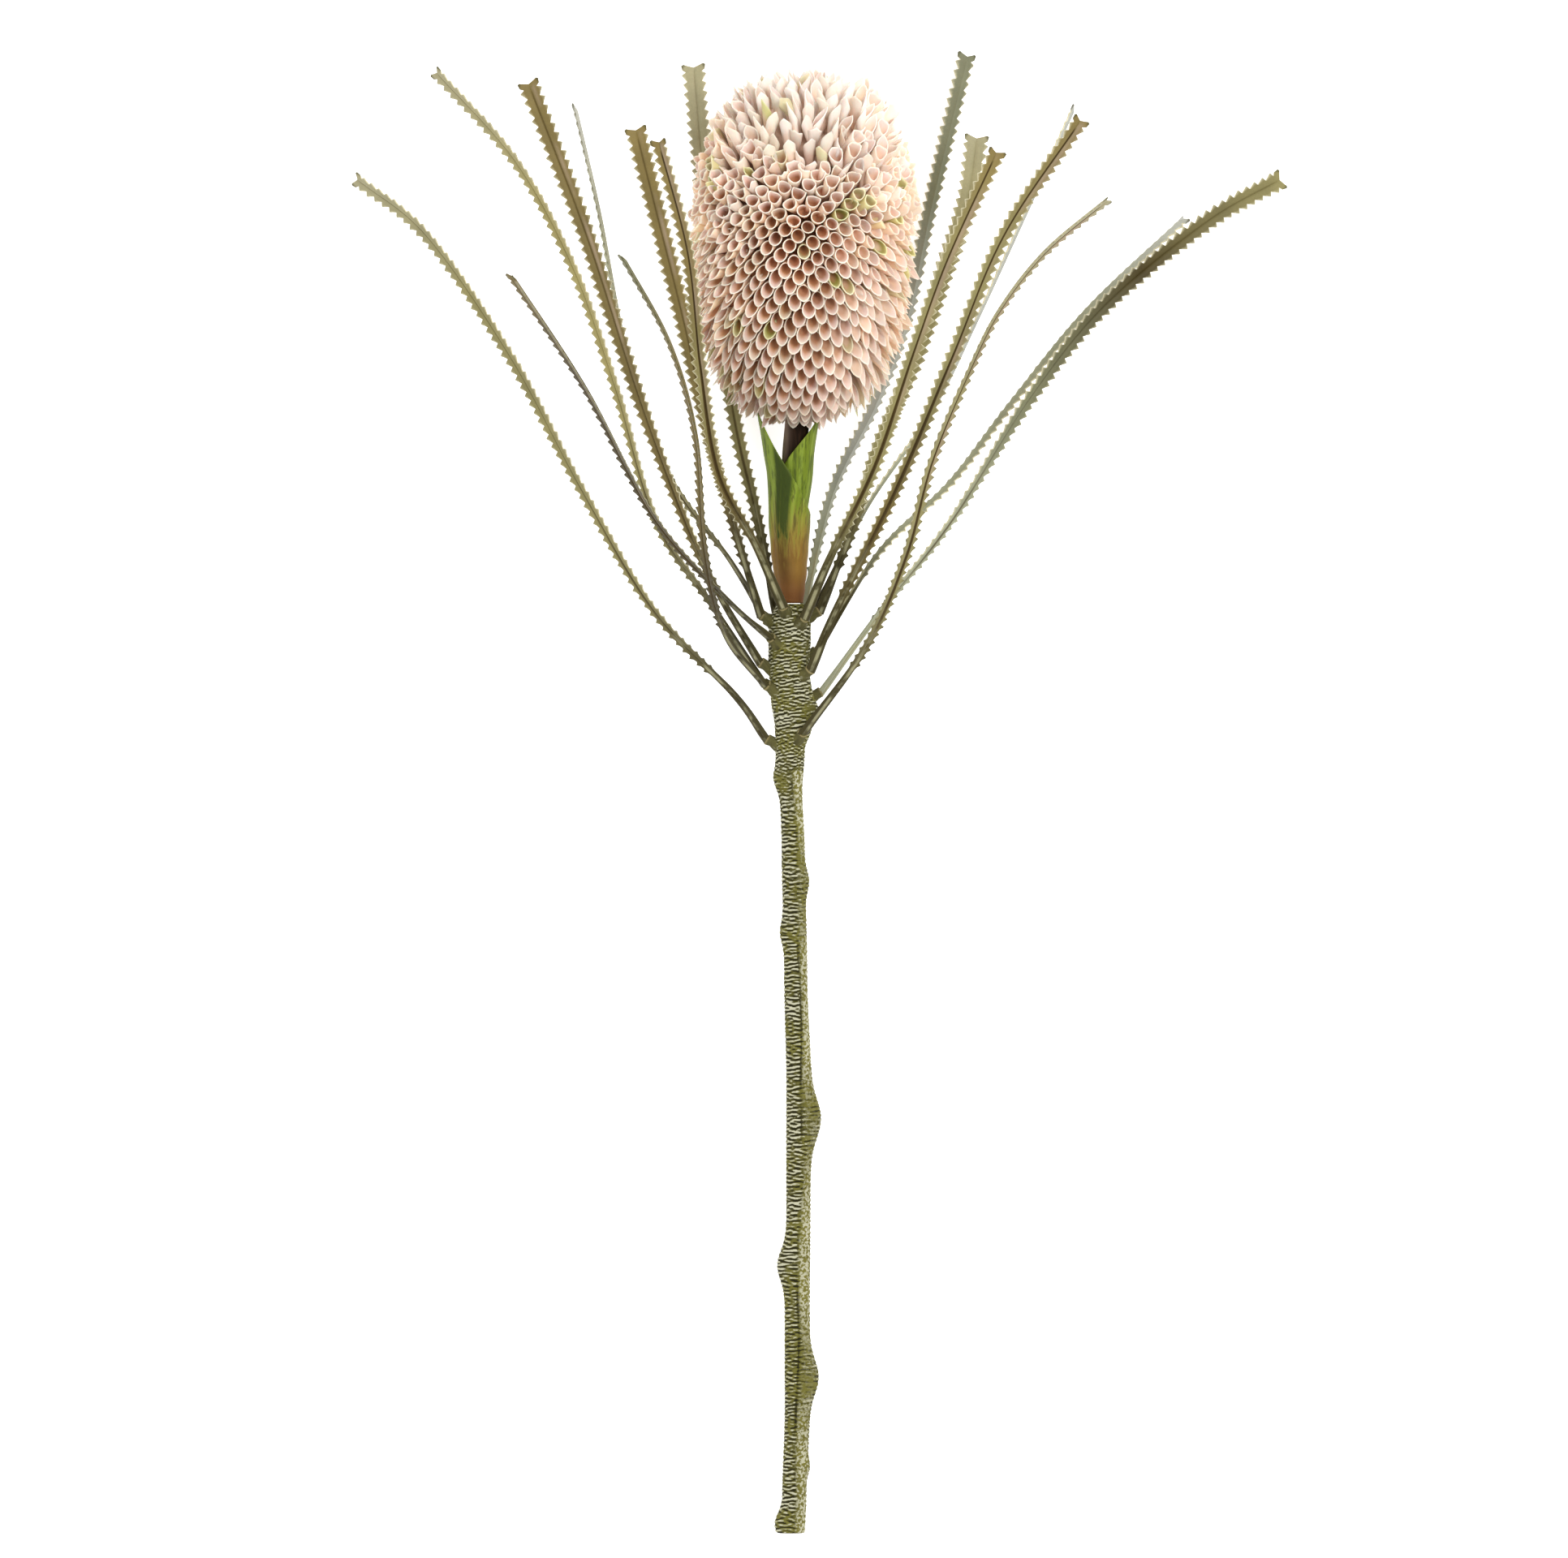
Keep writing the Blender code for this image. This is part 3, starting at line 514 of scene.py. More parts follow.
def mottle_group():
    """Soft patches and fine grain that lighten and darken a colour."""
    found = bpy.data.node_groups.get("mottle")
    if found:
        return found
    nodes, given, made = new_group(
        "mottle",
        [
            ("Color", "NodeSocketColor", (0.5, 0.5, 0.5, 1.0)),
            ("Patch Scale", "NodeSocketFloat", 40.0),
            ("Patch Strength", "NodeSocketFloat", 0.2),
            ("Grain Scale", "NodeSocketFloat", 900.0),
            ("Grain Strength", "NodeSocketFloat", 0.1),
            ("Stretch", "NodeSocketVector", (1.0, 1.0, 1.0)),
        ],
        [("Color", "NodeSocketColor"), ("Grain", "NodeSocketFloat")],
    )
    stretched = nodes.add("ShaderNodeVectorMath")
    stretched.operation = "MULTIPLY"
    nodes.feed(stretched.inputs[0], nodes.place())
    nodes.feed(stretched.inputs[1], given.outputs["Stretch"])
    place = stretched.outputs[0]
    patches = nodes.noise(place, given.outputs["Patch Scale"], 3.0)
    grain = nodes.noise(place, given.outputs["Grain Scale"], 4.0, Roughness=0.65)
    patch = nodes.times(nodes.minus(patches, 0.5), given.outputs["Patch Strength"])
    fine = nodes.times(nodes.minus(grain, 0.5), given.outputs["Grain Strength"])
    bright = nodes.plus(nodes.plus(patch, fine), 1.0)
    nodes.feed(made.inputs["Color"], nodes.scaled(given.outputs["Color"], bright))
    nodes.feed(made.inputs["Grain"], grain)
    return nodes.tree


SUBSURFACE_REACH = (1.0, 0.45, 0.3)  # of red, green and blue light, as shares of the next length
SUBSURFACE_LENGTH = 0.002


def start_material(name, roughness, specular, subsurface=0.0):
    """A material, its short ways and its Principled shader."""
    material = bpy.data.materials.new(name)
    material.use_nodes = True
    nodes = Nodes(material.node_tree)
    shader = material.node_tree.nodes["Principled BSDF"]
    shader.inputs["Roughness"].default_value = roughness
    shader.inputs["Specular IOR Level"].default_value = specular
    if subsurface:
        shader.inputs["Subsurface Weight"].default_value = subsurface
        shader.inputs["Subsurface Radius"].default_value = SUBSURFACE_REACH
        shader.inputs["Subsurface Scale"].default_value = SUBSURFACE_LENGTH
    return material, nodes, shader


def add_mottle(nodes, colour, patch_scale, patch, grain_scale, grain, stretch=(1, 1, 1)):
    """The mottle group placed in a material."""
    group = nodes.add("ShaderNodeGroup")
    group.node_tree = mottle_group()
    given = {
        "Color": colour,
        "Patch Scale": patch_scale,
        "Patch Strength": patch,
        "Grain Scale": grain_scale,
        "Grain Strength": grain,
        "Stretch": stretch,
    }
    for label, value in given.items():
        nodes.feed(group.inputs[label], value)
    return group.outputs["Color"], group.outputs["Grain"]


def add_bump(nodes, shader, height, strength, distance):
    bump = nodes.add("ShaderNodeBump", Height=height, Strength=strength, Distance=distance)
    nodes.feed(shader.inputs["Normal"], bump.outputs["Normal"])


def bract_material(colours):
    """Matte petal: blush to peach outside, mauve inside, a cream rim, and some yellow-green bracts, with
    painted shade that darkens it deep between the bracts and deep inside them.
    """
    material, nodes, shader = start_material("bract", 0.6, 0.3, 0.25)
    warm, green = nodes.stored("warm"), nodes.stored("green")
    inside, depth, edge = nodes.stored("inside"), nodes.stored("depth"), nodes.stored("edge")
    outside = nodes.mix(warm, colours.blush, colours.peach)
    outside = nodes.mix(nodes.times(nodes.stored("crown"), 0.8), outside, colours.white)
    outside = nodes.mix(green, outside, colours.green)
    pale = nodes.stored("pale")
    # Painted shade: the outer face darkens deep between the bracts, to a lighter haze in the pale parts
    gap = nodes.mix(pale, colours.gap, colours.haze)
    outside = nodes.mix(nodes.ramp(depth, 0.25, 1.0), outside, gap)
    lining = nodes.mix(warm, colours.mauve, colours.taupe)
    # Painted shade inside a bract: pale bracts keep their outer colour inside, and the rest darken from the
    # lip to the mauve and, deepest in, to the throat colour, which is a lighter haze in the pale parts
    lining = nodes.mix(nodes.times(pale, 0.75), lining, outside)
    lining = nodes.mix(nodes.ramp(depth, 0.0, 0.7, soft=False), colours.lip, lining)
    lining = nodes.mix(green, lining, colours.deep_green)
    throat = nodes.mix(pale, colours.throat, colours.haze)
    lining = nodes.mix(nodes.ramp(depth, 0.3, 1.05), lining, throat)
    colour = nodes.mix(inside, outside, lining)
    cream = nodes.mix(green, colours.cream, colours.green_rim)
    bright = nodes.times(edge, nodes.minus(0.85, nodes.times(pale, 0.35)))
    colour = nodes.mix(bright, colour, cream)
    colour, grain = add_mottle(nodes, colour, 120.0, 0.2, 1500.0, 0.1)
    # The stored brightness carries painted light on the head's right side
    nodes.feed(shader.inputs["Base Color"], nodes.scaled(colour, nodes.stored("shade")))
    add_bump(nodes, shader, grain, 0.2, 0.0003)
    return material


def core_material(colours):
    """Felt between the bracts, painted dark brown as the shade deep between them, and paler towards the top.
    """
    material, nodes, shader = start_material("head core", 0.9, 0.1)
    colour = nodes.mix(nodes.stored("pale"), colours.core, colours.haze)
    colour, grain = add_mottle(nodes, colour, 200.0, 0.5, 1200.0, 0.4)
    nodes.feed(shader.inputs["Base Color"], colour)
    add_bump(nodes, shader, grain, 0.5, 0.0005)
    return material


def leaf_material(colours):
    """Leathery blade whose tint changes along it, with a midrib groove, dark tooth tips, a pale edge and a
    painted highlight along the middle of its strap.
    """
    material, nodes, shader = start_material("leaf", 0.5, 0.2)
    along, across = nodes.stored("along"), nodes.stored("across")
    place = nodes.place()
    drift = nodes.noise(place, 30.0, 3.0)
    upper = nodes.stored("tone", "Color")
    stripe = nodes.times(nodes.stored("stripe"), nodes.ramp(along, 0.3, 0.6))
    upper = nodes.mix(nodes.times(stripe, nodes.ramp(drift, 0.38, 0.58)), upper, colours.taupe)
    rib = nodes.times(nodes.ramp(nodes.stored("from_rib"), 1.15, 0.7), nodes.stored("rib"))
    upper = nodes.mix(rib, upper, colours.rib)
    lower = nodes.mix(0.12, nodes.stored("tone", "Color"), colours.under)
    colour = nodes.mix(nodes.stored("under"), upper, lower)
    # Painted highlight along the middle of the strap, broken up by noise
    strap_highlight = nodes.times(nodes.ramp(across, 1.2, 0.2), nodes.ramp(nodes.noise(place, 140.0, 2.0), 0.38, 0.6))
    strap = nodes.mix(strap_highlight, nodes.stored("tone", "Color"), colours.stripe)
    colour = nodes.mix(nodes.ramp(along, 0.27, 0.12), colour, strap)
    dark = nodes.times(nodes.ramp(nodes.stored("tooth"), 0.3, 1.0), 0.75)
    colour = nodes.mix(dark, colour, colours.tooth)
    rim = nodes.times(nodes.ramp(nodes.stored("rim"), 0.05, 0.7), nodes.ramp(along, 0.12, 0.25))
    colour = nodes.mix(nodes.times(rim, 0.8), colour, colours.rim)
    colour, grain = add_mottle(nodes, colour, 70.0, 0.5, 1100.0, 0.3)
    nodes.feed(shader.inputs["Base Color"], colour)
    nodes.feed(shader.inputs["Roughness"], nodes.plus(nodes.times(grain, 0.25), 0.42))
    add_bump(nodes, shader, grain, 0.3, 0.0003)
    return material


def bark_material(colours):
    """Olive bark with dark furrows and whitish crests on its wrinkles."""
    material, nodes, shader = start_material("bark", 0.85, 0.15)
    crest, strip = nodes.stored("crest"), nodes.stored("strip")
    place = nodes.place()
    lines = nodes.noise(nodes.stretched(place, 2.6), 480.0, 5.0, Roughness=0.65, Distortion=0.8)
    patches = nodes.noise(place, 90.0, 3.0)
    colour = nodes.mix(nodes.ramp(patches, 0.35, 0.65), colours.olive, colours.moss)
    colour = nodes.mix(nodes.ramp(crest, 0.46, 0.12), colour, colours.furrow)
    wax = nodes.plus(nodes.times(nodes.minus(lines, 0.5), 1.5), crest)
    wax = nodes.plus(wax, nodes.times(nodes.minus(patches, 0.5), 0.9))
    wax = nodes.minus(wax, nodes.times(strip, 0.2))
    colour = nodes.mix(nodes.times(nodes.ramp(wax, 0.55, 0.92), 0.95), colour, colours.wax)
    ragged = nodes.times(strip, nodes.ramp(nodes.plus(strip, patches), 0.7, 1.3))
    colour = nodes.mix(nodes.times(ragged, 0.6), colour, colours.strip)
    flecks = nodes.times(ragged, nodes.ramp(nodes.noise(place, 800.0, 2.0), 0.46, 0.58))
    colour = nodes.mix(nodes.times(flecks, 0.8), colour, colours.wax)
    colour = nodes.mix(nodes.stored("cushion"), colour, colours.cushion)
    colour = nodes.mix(nodes.stored("socket"), colour, colours.socket)
    colour, grain = add_mottle(nodes, colour, 60.0, 0.2, 1500.0, 0.3)
    nodes.feed(shader.inputs["Base Color"], colour)
    height = nodes.plus(lines, nodes.times(grain, 0.3))
    add_bump(nodes, shader, height, 0.7, 0.0005)
    return material


def cut_material(colours):
    """The pale sawn face of the stem's lower end, with growth rings round its pith."""
    material, nodes, shader = start_material("cut wood", 0.8, 0.2)
    reach = nodes.stored("reach")
    rings = nodes.math("SINE", nodes.times(reach, 34.0))
    colour = nodes.mix(nodes.ramp(rings, -0.6, 1.0), colours.wood, colours.ring)
    colour = nodes.mix(nodes.ramp(reach, 0.86, 0.96), colour, colours.furrow)
    colour = nodes.mix(nodes.ramp(reach, 0.14, 0.06), colour, colours.furrow)
    colour, grain = add_mottle(nodes, colour, 400.0, 0.3, 2500.0, 0.3)
    nodes.feed(shader.inputs["Base Color"], colour)
    add_bump(nodes, shader, grain, 0.5, 0.0003)
    return material


def stalk_material(colours):
    """Dark brown, lengthwise streaked, with a painted highlight down its left side."""
    material, nodes, shader = start_material("stalk", 0.8, 0.12)
    streaks = nodes.noise(nodes.stretched(nodes.place(), 0.06), 600.0, 3.0)
    colour = nodes.mix(nodes.ramp(streaks, 0.4, 0.7), colours.dark, colours.light)
    colour = nodes.mix(nodes.stored("pale_side"), colour, colours.pale_side)
    nodes.feed(shader.inputs["Base Color"], colour)
    add_bump(nodes, shader, streaks, 0.4, 0.0004)
    return material


def sheath_material(colours):
    """Fresh green with dark lengthwise streaks, turning olive, then orange-brown towards its foot, with
    painted shade down its left side and a painted highlight along its rim.
    """
    material, nodes, shader = start_material("sheath", 0.6, 0.2, 0.05)
    climb, streak, lining = nodes.stored("climb"), nodes.stored("streak"), nodes.stored("lining")
    dark_side, edge = nodes.stored("dark_side"), nodes.stored("edge")
    fibre = nodes.noise(nodes.stretched(nodes.place(), 0.035), 850.0, 3.0, Roughness=0.6)
    fray = nodes.times(nodes.minus(fibre, 0.5), 0.5)
    wavy = nodes.plus(nodes.plus(climb, nodes.times(streak, 0.05)), fray)
    colour = nodes.mix(nodes.ramp(wavy, 0.34, 0.58), colours.olive, colours.green)
    # Painted shade: the lower part darkens down the left side, and the streaks below darken more there
    brown = nodes.mix(nodes.times(dark_side, 0.85), colours.tan, colours.shadow)
    colour = nodes.mix(nodes.ramp(wavy, 0.46, 0.22), colour, brown)
    colour = nodes.mix(nodes.ramp(climb, 0.2, 0.02), colour, colours.foot)
    dark = nodes.ramp(nodes.plus(streak, fray), -0.7, 0.7)
    dark = nodes.times(dark, nodes.ramp(wavy, 0.28, 0.5))
    dark = nodes.times(dark, nodes.plus(nodes.times(dark_side, 1.2), 0.16))
    colour = nodes.mix(nodes.math("MINIMUM", dark, 0.95), colour, colours.streak)
    light = nodes.times(nodes.ramp(streak, 0.0, -1.1), 0.45)
    light = nodes.times(light, nodes.ramp(climb, 0.3, 0.5))
    colour = nodes.mix(light, colour, colours.light)
    lines = nodes.times(nodes.ramp(fibre, 0.52, 0.36), 0.65)
    colour = nodes.mix(nodes.times(lines, nodes.ramp(climb, 0.1, 0.5)), colour, colours.streak)
    colour = nodes.mix(nodes.times(lining, 0.5), colour, colours.light)
    # Painted highlight along the rim
    colour = nodes.mix(nodes.times(edge, 0.2), colour, colours.light)
    colour, grain = add_mottle(nodes, colour, 90.0, 0.25, 1400.0, 0.15, (1.0, 0.12, 1.0))
    nodes.feed(shader.inputs["Base Color"], colour)
    add_bump(nodes, shader, grain, 0.25, 0.0003)
    return material


# What a user would change

def colour_property(name, about, value):
    return FloatVectorProperty(name=name, description=about, subtype="COLOR", size=3, min=0, max=1,
                               default=value)


def length_property(name, about, value):
    return FloatProperty(name=name, description=about, unit="LENGTH", min=0.0, default=value * MM,
                         precision=5)


class BanksiaHead(bpy.types.PropertyGroup):
    """Sizes and colours of the flower head."""

    pitch: length_property("Bract pitch", "Distance between neighbouring bracts", 7.0)
    length: length_property("Bract length", "From the bract's root to its tip", 20.0)
    radius: length_property("Bract radius", "Outer radius of the rolled bract at its mouth", 3.45)
    wall: length_property("Bract wall", "Thickness of the rolled bract", 0.5)
    slant: length_property("Mouth slant", "How far the steepest bracts' tips stand past their mouths", 9.5)
    green_share: FloatProperty(name="Green share", description="Share of bracts that are yellow-green",
                               subtype="FACTOR", min=0, max=1, default=0.06)
    blush: colour_property("Blush", "Pale outer face of a bract", (0.93, 0.77, 0.68))
    peach: colour_property("Peach", "Warm outer face of a bract", (0.94, 0.64, 0.44))
    white: colour_property("White", "Outer face of the topmost bracts", (0.98, 0.90, 0.84))
    mauve: colour_property("Mauve", "Inner face of a bract", (0.73, 0.47, 0.38))
    taupe: colour_property("Taupe", "Warm inner face of a bract", (0.74, 0.43, 0.25))
    cream: colour_property("Cream", "Rim of a bract", (0.98, 0.90, 0.78))
    # The next four colours carry painted shade: the inner face darkens from the lip to the throat, the outer
    # face darkens deep between the bracts, and haze is that painted shade made lighter in the pale parts
    lip: colour_property("Lip", "Inner face of a bract, near its rim", (0.88, 0.69, 0.64))
    throat: colour_property("Throat", "Deep inside a bract", (0.44, 0.19, 0.085))
    gap: colour_property("Gap", "Deep between the bracts", (0.46, 0.20, 0.10))
    haze: colour_property("Haze", "Deep between the bracts of the pale parts", (0.90, 0.68, 0.54))
    green: colour_property("Green", "Outer face of a green bract", (0.62, 0.60, 0.24))
    deep_green: colour_property("Deep green", "Inner face of a green bract", (0.33, 0.31, 0.06))
    green_rim: colour_property("Green rim", "Rim of a green bract", (0.86, 0.84, 0.52))
    # Painted shade: the core's dark brown stands for the shade deep between the bracts
    core: colour_property("Core", "Core between the bracts", (0.28, 0.12, 0.06))


class BanksiaLeaves(bpy.types.PropertyGroup):
    """Sizes and colours of the leaves."""

    pitch: length_property("Tooth pitch", "Distance between neighbouring teeth", 4.3)
    depth: length_property("Tooth depth", "How far a tooth stands out", 2.0)
    thickness: length_property("Thickness", "Thickness of the blade at its midrib", 1.1)
    edge: length_property("Edge thickness", "Thickness of the blade at its teeth", 0.6)
    strap: length_property("Strap", "Length of the smooth part above the base", 38.0)
    base: colour_property("Base", "Strap at a leaf's base", (0.046, 0.037, 0.009))
    dark: colour_property("Dark brown", "Tint of the darkest parts", (0.055, 0.039, 0.008))
    brown: colour_property("Brown", "Tint of the browned leaves", (0.158, 0.118, 0.037))
    golden: colour_property("Golden brown", "Outer half of a browned leaf", (0.205, 0.152, 0.048))
    moss: colour_property("Moss", "Tint of a dark grey-green leaf", (0.16, 0.16, 0.085))
    olive: colour_property("Olive", "Tint of a green leaf", (0.24, 0.21, 0.084))
    yellow: colour_property("Yellow", "Tint of a yellowed leaf", (0.33, 0.28, 0.105))
    khaki: colour_property("Khaki", "Tint of a faded leaf", (0.34, 0.31, 0.18))
    sage: colour_property("Sage", "Tint of a grey-green leaf", (0.30, 0.305, 0.195))
    grey: colour_property("Grey", "Tint of a leaf's pale grey face", (0.39, 0.39, 0.34))
    taupe: colour_property("Taupe", "Soft stripe beside the midrib", (0.30, 0.225, 0.14))
    # Painted highlight along the middle of the strap
    stripe: colour_property("Strap stripe", "Lighter line along the strap", (0.32, 0.30, 0.17))
    under: colour_property("Underside", "Lower face", (0.33, 0.34, 0.26))
    rib: colour_property("Midrib", "Groove along the middle", (0.062, 0.038, 0.007))
    tooth: colour_property("Tooth tips", "Tips of the teeth", (0.065, 0.062, 0.022))
    rim: colour_property("Edge", "Thin edge round the teeth", (0.80, 0.74, 0.50))


class BanksiaStem(bpy.types.PropertyGroup):
    """Sizes and colours of the stem and stalk."""

    wrinkle: length_property("Wrinkle height", "Height of the bark's ridges", 0.38)
    spacing: length_property("Wrinkle spacing", "Distance between the bark's ridges", 1.9)
    olive: colour_property("Olive", "Bark", (0.15, 0.138, 0.028))
    moss: colour_property("Moss", "Darker patches of bark", (0.068, 0.062, 0.013))
    furrow: colour_property("Furrow", "Between the ridges", (0.018, 0.016, 0.004))
    wax: colour_property("Wax", "Whitish crests of the ridges", (0.55, 0.535, 0.385))
    strip: colour_property("Strip", "Smooth strip along the stem", (0.195, 0.175, 0.036))
    cushion: colour_property("Cushion", "Smooth stub that carries a leaf", (0.10, 0.09, 0.034))
    socket: colour_property("Socket", "Rim round a leaf's foot", (0.30, 0.24, 0.11))
    wood: colour_property("Wood", "Sawn face", (0.55, 0.42, 0.25))
    ring: colour_property("Growth ring", "Rings on the sawn face", (0.40, 0.28, 0.15))
    dark: colour_property("Stalk", "Flower stalk", (0.011, 0.005, 0.002))
    light: colour_property("Stalk streak", "Streaks on the flower stalk", (0.032, 0.015, 0.007))
    # Painted highlight down the stalk's left side
    pale_side: colour_property("Stalk side", "Pale left side of the flower stalk", (0.55, 0.40, 0.32))


class BanksiaSheath(bpy.types.PropertyGroup):
    """Sizes and colours of the sheath leaves."""

    wall: length_property("Wall", "Thickness of a sheath leaf", 0.8)
    fold: length_property("Fold height", "Height of the lengthwise folds", 0.3)
    green: colour_property("Green", "Upper part", (0.170, 0.232, 0.013))
    # Light green also makes the painted highlight along the sheath's rim
    light: colour_property("Light green", "Raised folds and the lining", (0.26, 0.35, 0.05))
    streak: colour_property("Streak", "Dark lengthwise streaks", (0.030, 0.048, 0.004))
    olive: colour_property("Olive", "Middle part", (0.28, 0.225, 0.032))
    tan: colour_property("Tan", "Lower part", (0.235, 0.125, 0.020))
    # Painted shade down the sheath's left side
    shadow: colour_property("Dark side", "Dark left side of the middle part", (0.105, 0.05, 0.010))
    foot: colour_property("Foot", "Foot of the sheath", (0.18, 0.072, 0.018))


class BanksiaStage(bpy.types.PropertyGroup):
    """The floor, light and camera."""

    view_width: length_property("View width", "Width of the picture at the flower's middle height", 695.5)
    camera_height: FloatProperty(name="Camera height", description="Height of the camera over the surface",
                                 unit="LENGTH", min=1.0, default=9.0)
    floor: colour_property("Floor", "Colour of the floor", (0.93, 0.93, 0.93))
    glow: FloatProperty(name="Floor glow", description="Light that the floor gives off", min=0, default=0.6)
    key: FloatProperty(name="Key light", description="Power of the main light", unit="POWER", min=0,
                       default=33.0)
    sky: FloatProperty(name="Sky", description="Brightness of the light from all round", min=0, default=0.75)


# Stem and stalk

def leaf_seat(leaf):
    """The cushion's root inside the stem and its seat, where the leaf starts."""
    sideways, radius = (value.item() for value in between(STEM_STATIONS, leaf.y))
    angle = math.radians(leaf.turn)
    outward = np.array([math.cos(angle), 0.0, math.sin(angle)])
    surface = np.array([sideways, leaf.y, axis_height(leaf.y)]) + radius * outward
    lean = outward + CUSHION_LEAN * np.array([0.0, 1.0, 0.0])
    return surface - CUSHION_SINK * outward, surface + CUSHION_LENGTH * lean / np.linalg.norm(lean)


def wrapped(angle, centre):
    """Difference of directions round the stem, in degrees, from -180 to 180."""
    return (np.degrees(angle) - centre + 180) % 360 - 180


def wrinkles(spacing, slant, y, angle):
    """A field of ridges that lie across the stem, 0 to 1, shorter where the slant is larger."""
    draw = np.random.RandomState(SEED + 1)
    total = 0.0
    for _ in range(WRINKLE_WAVES):
        period = spacing * math.exp(draw.normal(0, WRINKLE_VARIETY))
        around = int(np.clip(draw.normal(0, slant), -WRINKLE_MOST_TURNS, WRINKLE_MOST_TURNS))
        total = total + np.sin(2 * math.pi * y / period + around * angle + draw.uniform(0, 2 * math.pi))
    return np.clip(0.5 + 0.45 * total / math.sqrt(WRINKLE_WAVES / 2), 0, 1)


def bark_points(settings):
    """Points of the bark, and the values that its material reads."""
    start, end = STEM_STATIONS[0][0], STEM_STATIONS[-1][0]
    count = round((end - start) / STEM_RING_STEP) + 1
    y = np.linspace(start, end, count)[:, None]
    angle = round_turns(STEM_COLUMNS)[None, :]
    sideways, radius = between(STEM_STATIONS, y[:, 0])
    swell = np.zeros((count, STEM_COLUMNS))
    for place, turn, height, half in STEM_KNOBS:
        facing = np.maximum(0.0, np.cos(angle - math.radians(turn)))
        swell += height * facing**2 * np.exp(-2 * ((y - place) / half) ** 2)
    spacing = settings.spacing / MM
    level = wrinkles(1.1 * spacing, WRINKLE_SLANTS[0], y, angle)
    broken = wrinkles(0.95 * spacing, WRINKLE_SLANTS[1], y, angle)
    crest = level + (broken - level) * rise(y, *WRINKLE_BREAKING)
    drift = sway(y, STRIP_DRIFT)
    strip = 1 / (1 + (wrapped(angle, STRIP_TURN + drift) / STRIP_HALF) ** 6)
    strip = strip * np.clip(0.85 + 0.35 * np.sin(y / 17.0 + 1.0), 0, 1) * (y < STRIP_TOP)
    furrow = hill(wrapped(angle, FURROW_TURN + drift), FURROW_HALF) * (y < FURROW_TOP)
    furrow = furrow * np.clip(0.35 + sway(y, FURROW_BREAKS), 0, 1)
    crest = (0.5 + (crest - 0.5) * (1 - 0.5 * strip)) * (1 - 0.8 * furrow)
    relief = settings.wrinkle / MM * (crest - 0.5) - FURROW_DEPTH * furrow
    inland = rise(np.minimum(y - start, end - y), 0.0, BARK_END)
    reach = radius[:, None] + swell + relief - BARK_END_DEPTH * (1 - inland)
    points = np.stack([
        sideways[:, None] + reach * np.cos(angle),
        y + 0 * angle,
        axis_height(y) + reach * np.sin(angle),
    ], axis=-1)
    return points, crest, strip


def cushion_points(leaf):
    """Rings of a leaf cushion, from inside the stem to the rim of its socket, then into the socket."""
    root, seat = leaf_seat(leaf)
    reach = np.linalg.norm(seat - root)
    along = (seat - root) / reach
    across = unit(np.cross(along, [0.0, 0.0, 1.0]))
    up = np.cross(across, along)
    turn = round_turns(CUSHION_COLUMNS)
    seed = int(10 * abs(leaf.y)) + leaf.turn
    rings = []
    for share, radius in CUSHION_PROFILE:
        lumps = wander(seed, 4, 3 * np.sin(turn), 3 * np.cos(turn), share * reach)
        ring = (radius * (1 + CUSHION_LUMPS * lumps))[:, None]
        rings.append(root + share * reach * along
                     + ring * (np.cos(turn)[:, None] * across + np.sin(turn)[:, None] * up))
    return np.array(rings), root, seat


def make_stem(settings):
    """The bark with its wrinkles, knobs and leaf cushions, and the sawn face."""
    bark, crest, strip = bark_points(settings)
    points = [bark.reshape(-1, 3), bark[[0, -1]].mean(axis=1)]
    faces = tube_faces(*crest.shape)
    values = {
        "crest": [crest.ravel(), [CENTRE_CREST] * 2],
        "strip": [strip.ravel(), [0.0, 0.0]],
        "socket": [np.zeros(crest.size + 2)],
        "cushion": [np.zeros(crest.size + 2)],
    }
    for leaf in LEAVES:
        rings, root, seat = cushion_points(leaf)
        count, around = rings.shape[:2]
        faces += tube_faces(count, around, sum(map(len, points)))
        points += [rings.reshape(-1, 3), [root, seat]]
        ring = np.arange(count).repeat(around)
        draw = np.random.RandomState(leaf.y + leaf.turn)
        values["crest"] += [draw.uniform(0.1, 0.75, count * around), [CENTRE_CREST] * 2]
        values["strip"] += [np.zeros(count * around + 2)]
        values["socket"] += [0.9 * (ring == count - 2), [0.0, 0.0]]
        values["cushion"] += [np.clip(ring / 3.0, 0, 0.85), [0.0, 1.0]]
    values = {key: np.concatenate(parts) for key, parts in values.items()}
    material = bark_material(settings)
    make_piece("bark", np.concatenate(points), turned(faces), material, ["stem"], values)
    make_cut_face(bark[0], settings)


CUT_RINGS = [  # share of the end's radius, place along Y from the end
    (0.9, 1.0), (1.0, -0.02), (0.97, -0.02), (0.9, -0.12), (0.6, -0.12), (0.3, -0.12), (0.1, -0.12),
]


def make_cut_face(end, settings):
    """A plug in the stem's lower end that shows its sawn face."""
    centre = end.mean(axis=0)
    shares, places = zip(*CUT_RINGS)
    rings = [centre + (end - centre) * share + [0.0, place, 0.0] for share, place in CUT_RINGS]
    middles = [centre + [0.0, place, 0.0] for place in (places[0], places[-1])]
    faces = tube_faces(len(rings), len(end))
    reach = np.append(np.repeat(shares, len(end)), [0.0, 0.0])
    make_piece("cut_face", np.concatenate([*rings, middles]), faces, cut_material(settings), ["stem"],
               {"reach": reach})


